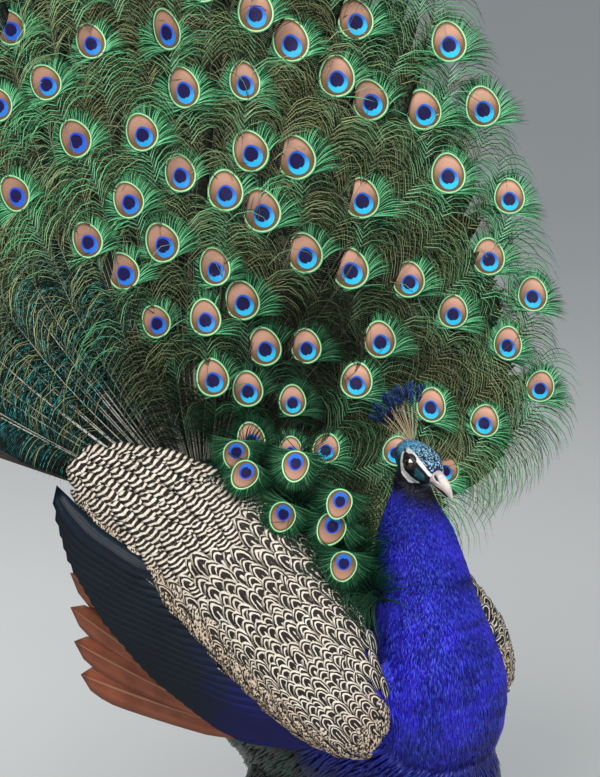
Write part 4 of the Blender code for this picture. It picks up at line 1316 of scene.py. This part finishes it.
def feather_lines():
    """Each shaft from the rump along the dish, bending over its last part to where it points."""
    share = np.linspace(0, 1, FINE + 1)
    bend = np.minimum(BEND, shaft_reach * 0.42)
    knee = shaft_reach - bend
    angles = shaft_angle[:, None]
    along = 0.050 + (knee - 0.050)[:, None] * np.minimum(share / 0.7, 1.0)
    rise = shaft_lift[:, None] * (along / shaft_reach[:, None]) ** 4
    spread = np.repeat(angles, FINE + 1, 1)
    line = dish(spread, along, rise)
    at_knee = dish(shaft_angle, knee, shaft_lift * (knee / shaft_reach) ** 4)
    before = dish(shaft_angle, knee - 0.01, shaft_lift * ((knee - 0.01) / shaft_reach) ** 4)
    way = unit(at_knee - before)
    middle = at_knee + way * (bend * 0.5)[:, None]
    end = middle + end_way * (bend * 0.5)[:, None]
    t = np.clip((share - 0.7) / 0.3, 0, 1)[None, :, None]
    curve = arc(at_knee[:, None], middle[:, None], end[:, None], t)
    line = np.where(share[None, :, None] > 0.7, curve, line)
    outs = unit(dish_out(spread, along) * (1 - t) + end_out[:, None] * t)
    t = share[None, :, None]
    rooted = hung_tip[:, 1] + 0.050
    on_back = np.interp(rooted, (-0.004, 0.065, 0.092, 0.163), (0.593, 0.667, 0.684, 0.714)) - 0.012
    start = np.column_stack((np.full(len(hung), -0.022), rooted, on_back))
    bowed = hung_tip - end_way[hung] * 0.060
    line[hung] = arc(start[:, None], bowed[:, None], hung_tip[:, None], t)
    outs[hung] = end_out[hung][:, None]
    steps = np.linalg.norm(np.diff(line, axis=1), axis=2)
    lengths = np.concatenate((np.zeros((len(line), 1)), np.cumsum(steps, axis=1)), axis=1)
    return line, outs, lengths


shaft_line, shaft_outs, shaft_length = feather_lines()
eye_centre = shaft_line[:EYED, -1]
eye_way, eye_side, eye_out = end_way[:EYED], end_side[:EYED], end_out[:EYED]


def on_shafts(index, from_tip):
    """Point, direction and outward side of shafts, at lengths measured down from their tips."""
    far = shaft_length[index, -1] - from_tip
    line, outs, length = shaft_line[index], shaft_outs[index], shaft_length[index]
    step = np.clip((length < far[:, None]).sum(1) - 1, 0, FINE - 1)
    rows = np.arange(len(index))
    low, high = line[rows, step], line[rows, step + 1]
    share = (far - length[rows, step]) / (length[rows, step + 1] - length[rows, step])
    return low + (high - low) * share[:, None], unit(high - low), outs[rows, step]


def eye_discs():
    """Close-barbed discs with a slight dish, and a map of their own for the rings."""
    around, rings = 36, 4
    spin = np.arange(around) * 2 * math.pi / around
    local, flat = [], []
    for k in range(1, rings + 1):
        reach = k / rings
        long = np.where(np.cos(spin) > 0, 1.10, 1.04) * EYE_HALF_LONG
        narrow = 1.0 - 0.12 * np.cos(spin)
        x = np.sin(spin) * EYE_HALF_WIDE * reach * narrow
        y = np.cos(spin) * long * reach
        z = 0.0022 + 0.0022 * reach ** 2 - 0.0014 * np.abs(np.cos(spin)) * reach
        local.append(np.column_stack((x, y, z)))
        flat.append(np.column_stack((np.sin(spin), np.cos(spin))) * reach)
    local.append(np.array(((0, 0, 0.0022), (0, 0, 0.0010))))
    flat.append(np.zeros((2, 2)))
    local, flat = np.concatenate(local), np.concatenate(flat)
    front, back = rings * around, rings * around + 1
    faces = []
    for j in range(around):
        after = (j + 1) % around
        faces.append((front, after, j))
        for k in range(rings - 1):
            low = k * around
            faces.append((low + j, low + after, low + around + after, low + around + j))
        faces.append((back, (rings - 1) * around + j, (rings - 1) * around + after))
    return local, flat, faces


local, ring_map, disc_faces = eye_discs()
scaled = local[None] * eye_size[:, None, None]
points = eye_centre[:, None] + eye_side[:, None] * scaled[..., :1]
points = points + eye_way[:, None] * scaled[..., 1:2] + eye_out[:, None] * scaled[..., 2:]

disc = Finish("train_eye", Roughness=0.48, Metallic=0.15, Specular_IOR_Level=0.25)
across, along = disc.map("Eye")
x, y = (across - 0.5) * 2.0, (along - 0.5) * 2.0
cool = disc.mark("cool")
ray = disc.sum("SINE", disc.sum("ARCTAN2", x, y + 1.25) * 170.0)
fray = ray * 0.006
whole = disc.off(x, y) + fray
ring = disc.off(x - 0.03, y + 0.25) + fray
notch = disc.smooth(abs(x - 0.03), 0.10, 0.0) * disc.smooth(y, -0.26, -0.50)
heart = disc.off(x * 0.96, y + 0.17) + notch * 0.05 + fray
bronze = disc.mix(disc.smooth(y, -0.5, 0.75), (0.15, 0.080, 0.034), (0.66, 0.36, 0.26))
bronze = disc.mix(cool * 0.55, bronze, (0.14, 0.075, 0.040))
cyan = disc.mix(disc.smooth(y, 0.05, -0.55), (0.004, 0.12, 0.62), (0.02, 0.55, 0.92))
cyan = disc.mix(cool, cyan, (0.016, 0.06, 0.62))
tint = bronze
for reach, first, last, colour in (
        (whole, 0.70, 0.86, (0.13, 0.085, 0.022)), (whole, 0.885, 0.905, (0.50, 0.86, 0.46)),
        (whole, 0.940, 0.960, (0.06, 0.36, 0.16)), (ring, 0.530, 0.500, cyan),
        (heart, 0.375, 0.325, (0.005, 0.001, 0.055))):
    tint = disc.mix(disc.smooth(reach, first, last), tint, colour)
tint = disc.mix((ray * 0.5 + 0.5) * 0.28, tint, (0.0, 0.0, 0.0))
disc.set(Base_Color=tint).bump(ray, 0.35, 0.0003)
blue = np.interp(np.degrees(eye_angle), (-63, -15, 12, 34), (0.9, 0.8, 0.5, 0.0))
blue = blue * dice.uniform(0.6, 1.2, EYED)
blue[EYES_IN_TRAIN:] = 0.8
flat = fan_map(eye_angle, eye_reach)[:, None] + (ring_map * 0.0165)[None]
joined(
    "train_eyes", points, disc_faces, {"OFBake": flat, "Eye": ring_map * 0.5 + 0.5},
    {"cool": np.clip(blue, 0, 1)[:, None]}, disc, smooth=False)

ivory = Finish("ivory_shaft", Roughness=0.40)
along, bare = ivory.mark("along"), ivory.mark("bare")
pale = ivory.ramp(
    along, (0.0, (0.80, 0.78, 0.70)), (0.55, (0.74, 0.71, 0.60)), (0.80, (0.48, 0.47, 0.34)),
    (1.0, (0.05, 0.09, 0.04)))
ivory.set(Base_Color=ivory.mix(bare, (0.050, 0.055, 0.022), pale))
SHAFT_STEPS = 10
pick = np.linspace(0, FINE, SHAFT_STEPS + 1).astype(int)
paths, outs = shaft_line[:, pick] - shaft_outs[:, pick] * 0.0005, shaft_outs[:, pick]
sides, ups = vane_axes(paths, outs[:, :-1])
bare = np.interp(np.degrees(shaft_angle), (-63, -50, -36, -5, 30), (1.0, 0.9, 0.50, 0.16, 0.08))
bare = bare * dice.uniform(0.6, 1.2, len(paths))
bare[hung] = 0.0
bare = np.clip(bare, 0, 1)
wide = np.linspace(0.00120, 0.0004, SHAFT_STEPS)[None] * (0.45 + 0.75 * bare)[:, None]
points = lofted(paths, sides, ups, wide, wide)
local = vane_map(SHAFT_STEPS)
flat = fan_map(shaft_angle, shaft_reach * 0.5)[:, None] + (local[None] - 0.5) * (0.003, 0.003)
joined(
    "train_shafts", points, loft_faces(SHAFT_STEPS, 3), {"OFBake": flat},
    {"along": local[None, :, 1], "bare": bare[:, None]}, ivory)

# Webs: the broad lower vane of each feather, whose barbs lie side by side and shut out the light
# behind; the outer halves of the barbs part from it. Its near-black ground is painted shade, for
# the dark between the many layers of barbs, and the pale lines ruled on it are painted glints.
web = Finish("train_web", Roughness=0.60, Specular_IOR_Level=0.2)
across, along = web.map("Vane")
off = abs(across - 0.5) * 2.0
long, teal_share = web.mark("long"), web.mark("teal")
drift = web.noise(16.0, detail=3.0)
row = (along * long - off * 0.030 + off * off * 0.012) / 0.0027 + drift * 3.0
ruled = web.sum("SINE", row * (2 * math.pi))
# Painted glints of barbs in the ruled lines, fading towards the web's root.
glint = web.smooth(ruled, 0.10, 0.75) * web.smooth(web.noise(240.0, detail=1.0), 0.36, 0.58)
# Painted shade: the near-black ground stands for the dark between the many layers of barbs.
painted_shade_ground = web.mix(drift, (0.003, 0.004, 0.002), (0.010, 0.012, 0.006))
line_colour = web.mix(web.smooth(drift, 0.35, 0.65), (0.30, 0.31, 0.18), (0.09, 0.26, 0.10))
line_colour = web.mix(teal_share, line_colour, (0.01, 0.22, 0.24))
glint = glint * web.smooth(along, 0.20, 0.75)
web.set(Base_Color=web.mix(glint, painted_shade_ground, line_colour)).bump(ruled, 0.6, 0.0005)
WEB_STEPS = 12
train_nodes = [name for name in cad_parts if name.startswith("train_")]
upright = np.setdiff1d(np.arange(len(shaft_angle)), hung)
web_angle = shaft_angle[upright]
web_reach = np.minimum(shaft_reach[upright] + 0.04, outline(web_angle) - 0.100)
teal_mark = np.interp(np.degrees(web_angle), (-63, -35, -10), (1.0, 0.8, 0.0))
for piece, sunk, turned, nodes in (
        ("train_shade_webs_front", 0.004, 0.0, train_nodes), ("train_shade_webs_back", 0.011, 0.02, ())):
    angles = np.repeat((web_angle + turned)[:, None], WEB_STEPS + 1, 1)
    along = 0.040 + (web_reach - 0.040)[:, None] * np.linspace(0, 1, WEB_STEPS + 1)
    layer = sunk + 0.0030 * np.sin(np.arange(len(upright)) * 2.4)
    paths = dish(angles, along, -np.repeat(layer[:, None], WEB_STEPS + 1, 1))
    outs = dish_out(angles, along)
    sides, ups = vane_axes(paths, outs[:, :-1])
    share = np.arange(WEB_STEPS) / WEB_STEPS
    wide = np.interp(share, (0, 0.3, 0.6, 0.85, 1), (0.010, 0.022, 0.034, 0.026, 0.006))
    wide = wide * np.interp(web_reach, (0.08, 0.35), (0.55, 1.0))[:, None]
    points = lofted(paths, sides, ups, wide, np.full_like(wide, 0.0006), VANE)
    local = vane_map(WEB_STEPS, VANE)
    flat = fan_map(web_angle, web_reach * 0.4)[:, None] + (local[None] - 0.5) * (0.008, 0.012)
    joined(
        piece, points, loft_faces(WEB_STEPS, len(VANE)), {"OFBake": flat, "Vane": local},
        {"long": web_reach[:, None], "teal": teal_mark[:, None]}, web, nodes)

# Barbs: a halo round each eye, and long loose ones that leave the shafts in combed rows and
# arch over to both sides.
barb = Finish("train_barb", Roughness=0.45, Metallic=0.2, Specular_IOR_Level=0.25)
along, tone, green = barb.mark("along"), barb.mark("tone"), barb.mark("green")
# Pale barbs among dark ones are painted glints; tone also carries painted shade, and light is how
# pale a barb is.
light = barb.smooth(tone, 0.22, 0.95)
OLIVE = ((0.006, 0.009, 0.003), (0.40, 0.44, 0.21))
EMERALD = ((0.003, 0.045, 0.016), (0.16, 0.60, 0.27))
olive, emerald = barb.mix(light, *OLIVE), barb.mix(light, *EMERALD)
emerald = barb.mix(barb.smooth(along, 0.35, 0.0) * light * 0.7, emerald, (0.42, 0.95, 0.58))
speck = barb.smooth(barb.noise(260.0, detail=1.0), 0.45, 0.60)
teal = barb.mix(light * speck, (0.001, 0.020, 0.024), (0.05, 0.55, 0.52))
tint = barb.mix(barb.smooth(green + along * 0.25, 0.30, 0.95), olive, emerald)
tint = barb.mix(barb.smooth(green, -0.15, -0.60), tint, teal)
barb.set(Base_Color=tint)
TO_VIEWER = -VIEW_WAY
EYE_CLEARANCE = 0.0205
SHADE_MIDDLE, SHADE_WIDE = 56, 24


def in_shade(angle, reach):
    """How far a place of the fan lies in the shade of the head and neck, 0 to 1."""
    off_middle = (np.degrees(angle) - SHADE_MIDDLE) / SHADE_WIDE
    return np.exp(-off_middle ** 2) * np.interp(reach, (0.26, 0.44), (1.0, 0.0))


def clear_of_eyes(paths, share, dice, own):
    """True for the barbs that do not lie over another feather's eye; a few are let stay."""
    middle = np.concatenate((paths[:, 1:], (paths[:, 1:] + paths[:, :-1]) / 2), axis=1)
    over = np.zeros(len(paths), bool)
    for eye_number, (centre, size) in enumerate(zip(eye_centre, eye_size)):
        away = middle - centre
        front = away @ TO_VIEWER
        beside = np.linalg.norm(away - front[..., None] * TO_VIEWER, axis=2)
        near = ((beside < EYE_CLEARANCE * size) & (front > -0.008) & (front < 0.12)).any(axis=1)
        over |= near & (own != eye_number)
    return ~over | (dice.uniform(0, 1, len(paths)) < share)


def barb_piece(
        name, start, ways, sides, outs, length, heading, turn, droop, half, spots, tone, green,
        own=-1, steps=4, fall=0.16):
    """Barbs from points of a shaft: each starts at a heading from it and turns as it goes."""
    fine, bend, spared = 8, 1.3, 0.02
    t = np.linspace(0, 1, fine + 1)
    middle = (t[1:] + t[:-1]) / 2
    angle = heading[:, None] + turn[:, None] * middle[None] ** bend
    step = ways[:, None] * np.cos(angle)[..., None] + sides[:, None] * np.sin(angle)[..., None]
    step = step / fine
    trail = np.concatenate((np.zeros((len(start), 1, 3)), np.cumsum(step, axis=1)), axis=1)
    path = start[:, None] + trail * length[:, None, None]
    path = path + outs[:, None] * (droop[:, None] * np.sin(t * 2.2)[None])[..., None]
    path = path - np.array((0, 0, 1.0)) * (length[:, None] * fall * t[None] ** 2)[..., None]
    path = path[:, np.round(np.linspace(0, fine, steps + 1)).astype(int)]
    kept = clear_of_eyes(path, spared, np.random.default_rng(len(start)), own)
    path, outs, half, spots, tone, green = (
        row[kept] for row in (path, outs, half, spots, tone, green))
    across, ups = vane_axes(path, outs[:, None])
    width = half[:, None] * np.interp(np.arange(steps) / steps, (0, 0.5, 1), (1.0, 0.9, 0.4))[None]
    points = lofted(path, across, ups, width, width * 0.7)
    local = vane_map(steps)
    marks = {"along": local[None, :, 1], "tone": tone[:, None], "green": green[:, None]}
    maps = {"OFBake": patch_map(spots, local)}
    joined(name, points, loft_faces(steps, len(BLADE)), maps, marks, barb)


def shaft_rows(pick, dice, spacing=0.0027, last=0.016, longest=0.40):
    """Rows down both sides of shafts: which shaft, how far from its tip, and which side."""
    rows = []
    for index in pick:
        first = min(shaft_length[index, -1] - 0.03, longest)
        count = max(4, int((first - last) / spacing))
        down = np.linspace(last, first, count) + dice.normal(0, 0.0004, count)
        for side in (-1.0, 1.0):
            rows.append(np.column_stack((
                np.full(count, index), down, np.full(count, side), np.arange(count) % 2)))
    index, down, side, even = np.concatenate(rows).T
    return index.astype(int), down, side, even


def loose_barbs(name, pick, seed):
    dice = np.random.default_rng(seed)
    index, down, side, even = shaft_rows(pick, dice)
    start, ways, outs = on_shafts(index, down)
    sides = unit(np.cross(ways, outs)) * side[:, None]
    number = len(index)
    degrees = np.degrees(shaft_angle[index])
    own = np.sin(index * 1.7 + side * 0.8)
    slow = np.sin(down * 36 + index * 2.1 + side)
    length = np.interp(down, (0.016, 0.05, 0.12, 0.40), (0.040, 0.068, 0.082, 0.060))
    length = length * (1 + 0.12 * slow) * dice.uniform(0.93, 1.05, number)
    length = length * np.interp(shaft_reach[index], (0.1, 0.3), (0.55, 1.0))
    near_edge = (degrees < -48) & (side < 0)
    length = np.where(near_edge, length * 0.5, length)
    stray = np.interp(degrees, (-63, -30, 0), (3.0, 2.4, 1.0))
    heading = np.radians(34 + 5 * own + stray * dice.normal(0, 2.2, number))
    turn = np.radians(96 + 16 * own + 14 * slow + stray * dice.normal(0, 6, number))
    turn = np.where(near_edge, turn * 0.5, turn)
    droop = 0.004 * own + 0.003 * slow + stray * dice.normal(-0.0006, 0.0008, number)
    half = dice.uniform(0.00036, 0.00052, number)
    spread = np.interp(down, (0.02, 0.07, 0.20), (0.85, 0.40, 0.0))
    green = np.clip(spread + 0.12 + 0.26 * np.sin(index * 2.3) + 0.12 * slow, 0, 1)
    near = np.interp(degrees, (-63, -30, -5), (1.0, 0.8, 0.0))
    low = np.interp(shaft_length[index, -1] - down, (0.16, 0.42), (1.0, 0.0))
    teal = (near * low > 0.30) & (dice.uniform(0, 1, number) < 0.55)
    green = np.where(teal, -0.7 * near * low - 0.15, green)
    # Every other barb is painted pale, a painted glint, over a random tone; all are darker towards
    # the fan's root, and darker in the painted shadow of the head and neck.
    tone = np.clip(0.06 + 0.55 * even + 0.36 * dice.uniform(0, 1, number) + 0.14 * slow, 0, 1)
    out_from_root = shaft_length[index, -1] - down
    tone = tone * np.interp(out_from_root, (0.02, 0.12, 0.30), (0.30, 0.62, 1.0))
    tone = tone * (1 - 0.55 * in_shade(shaft_angle[index], out_from_root))
    dropped = np.isin(index, hung)
    tone, green = np.where(dropped, tone * 0.55, tone), np.where(dropped, 0.7, green)
    length = np.where(dropped, 0.045 * dice.uniform(0.8, 1.1, number), length)
    turn = np.where(dropped, turn * 0.35, turn)
    barb_piece(
        name, start, ways, sides, outs, length, heading, turn, droop, half,
        fan_map(shaft_angle[index] + side * 0.004, shaft_reach[index] - down), tone, green)


everyone = np.arange(len(shaft_angle))
PARTS = 5
for part in range(PARTS):
    loose_barbs(f"train_barbs_{part + 1}", everyone[part::PARTS], 40 + part)


def eye_halos(name, pick, seed, each=180):
    """The ends of the close barbs, all round the rim of each eye, longest below."""
    dice = np.random.default_rng(seed)
    number = len(pick) * each
    index = np.repeat(pick, each)
    spin = np.tile((np.arange(each) + 0.5) / each * 2 - 1, len(pick)) * math.pi
    spin = spin + dice.normal(0, 0.02, number)
    side = np.where(spin > 0, 1.0, -1.0)
    size = eye_size[index]
    turn_share = np.abs(spin) / math.pi
    narrow = 1.0 - 0.12 * np.cos(spin)
    x = np.sin(spin) * EYE_HALF_WIDE * narrow * size * 0.93
    y = np.cos(spin) * EYE_HALF_LONG * 1.06 * size * 0.93
    start = eye_centre[index] + eye_side[index] * x[:, None] + eye_way[index] * y[:, None]
    start = start + eye_out[index] * (0.0006 + 0.0010 * np.abs(np.sin(spin)))[:, None]
    heading = np.abs(spin) * np.interp(turn_share, (0, 0.5, 1), (0.30, 0.46, 0.50))
    heading = heading + dice.normal(0, 0.04, number)
    turn = np.radians(np.interp(turn_share, (0, 0.4, 0.75, 1.0), (6, 26, 38, 20)))
    turn = turn + dice.normal(0, 0.06, number)
    length = np.interp(turn_share, (0, 0.3, 0.6, 0.85, 1.0), (0.017, 0.019, 0.026, 0.040, 0.046))
    length = length * size * dice.uniform(0.80, 1.10, number)
    dim = np.interp(eye_reach[index], (0.10, 0.34), (0.60, 1.0))
    dim = np.where(index < EYES_IN_TRAIN, dim, 0.50)
    dim = dim * (1 - 0.45 * in_shade(eye_angle[index], eye_reach[index]))
    half = dice.uniform(0.00046, 0.00066, number)
    spots = fan_map(eye_angle[index], eye_reach[index]) + np.column_stack((x, y)) * 0.85
    droop = dice.normal(-0.0010, 0.0010, number)
    # Every other halo barb is painted pale, a painted glint, over a random tone; dim darkens them
    # towards the fan's root, on the hanging feathers and in the painted shadow of the head and
    # neck.
    tone = 0.10 + 0.50 * (np.arange(number) % 2) + dice.uniform(0, 0.4, number)
    barb_piece(
        name, start, eye_way[index], eye_side[index] * side[:, None], eye_out[index], length,
        heading, turn, droop, half, spots, tone * dim, np.full(number, 0.95), own=index, steps=3,
        fall=0.04)


for part in range(2):
    eye_halos(f"eye_halos_{part + 1}", np.arange(EYED)[part::2], 61 + part)

sizes = {
    "cad": [list(corner) for corner in CAD_BOX],
    "visual": [list(corner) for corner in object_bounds()]}
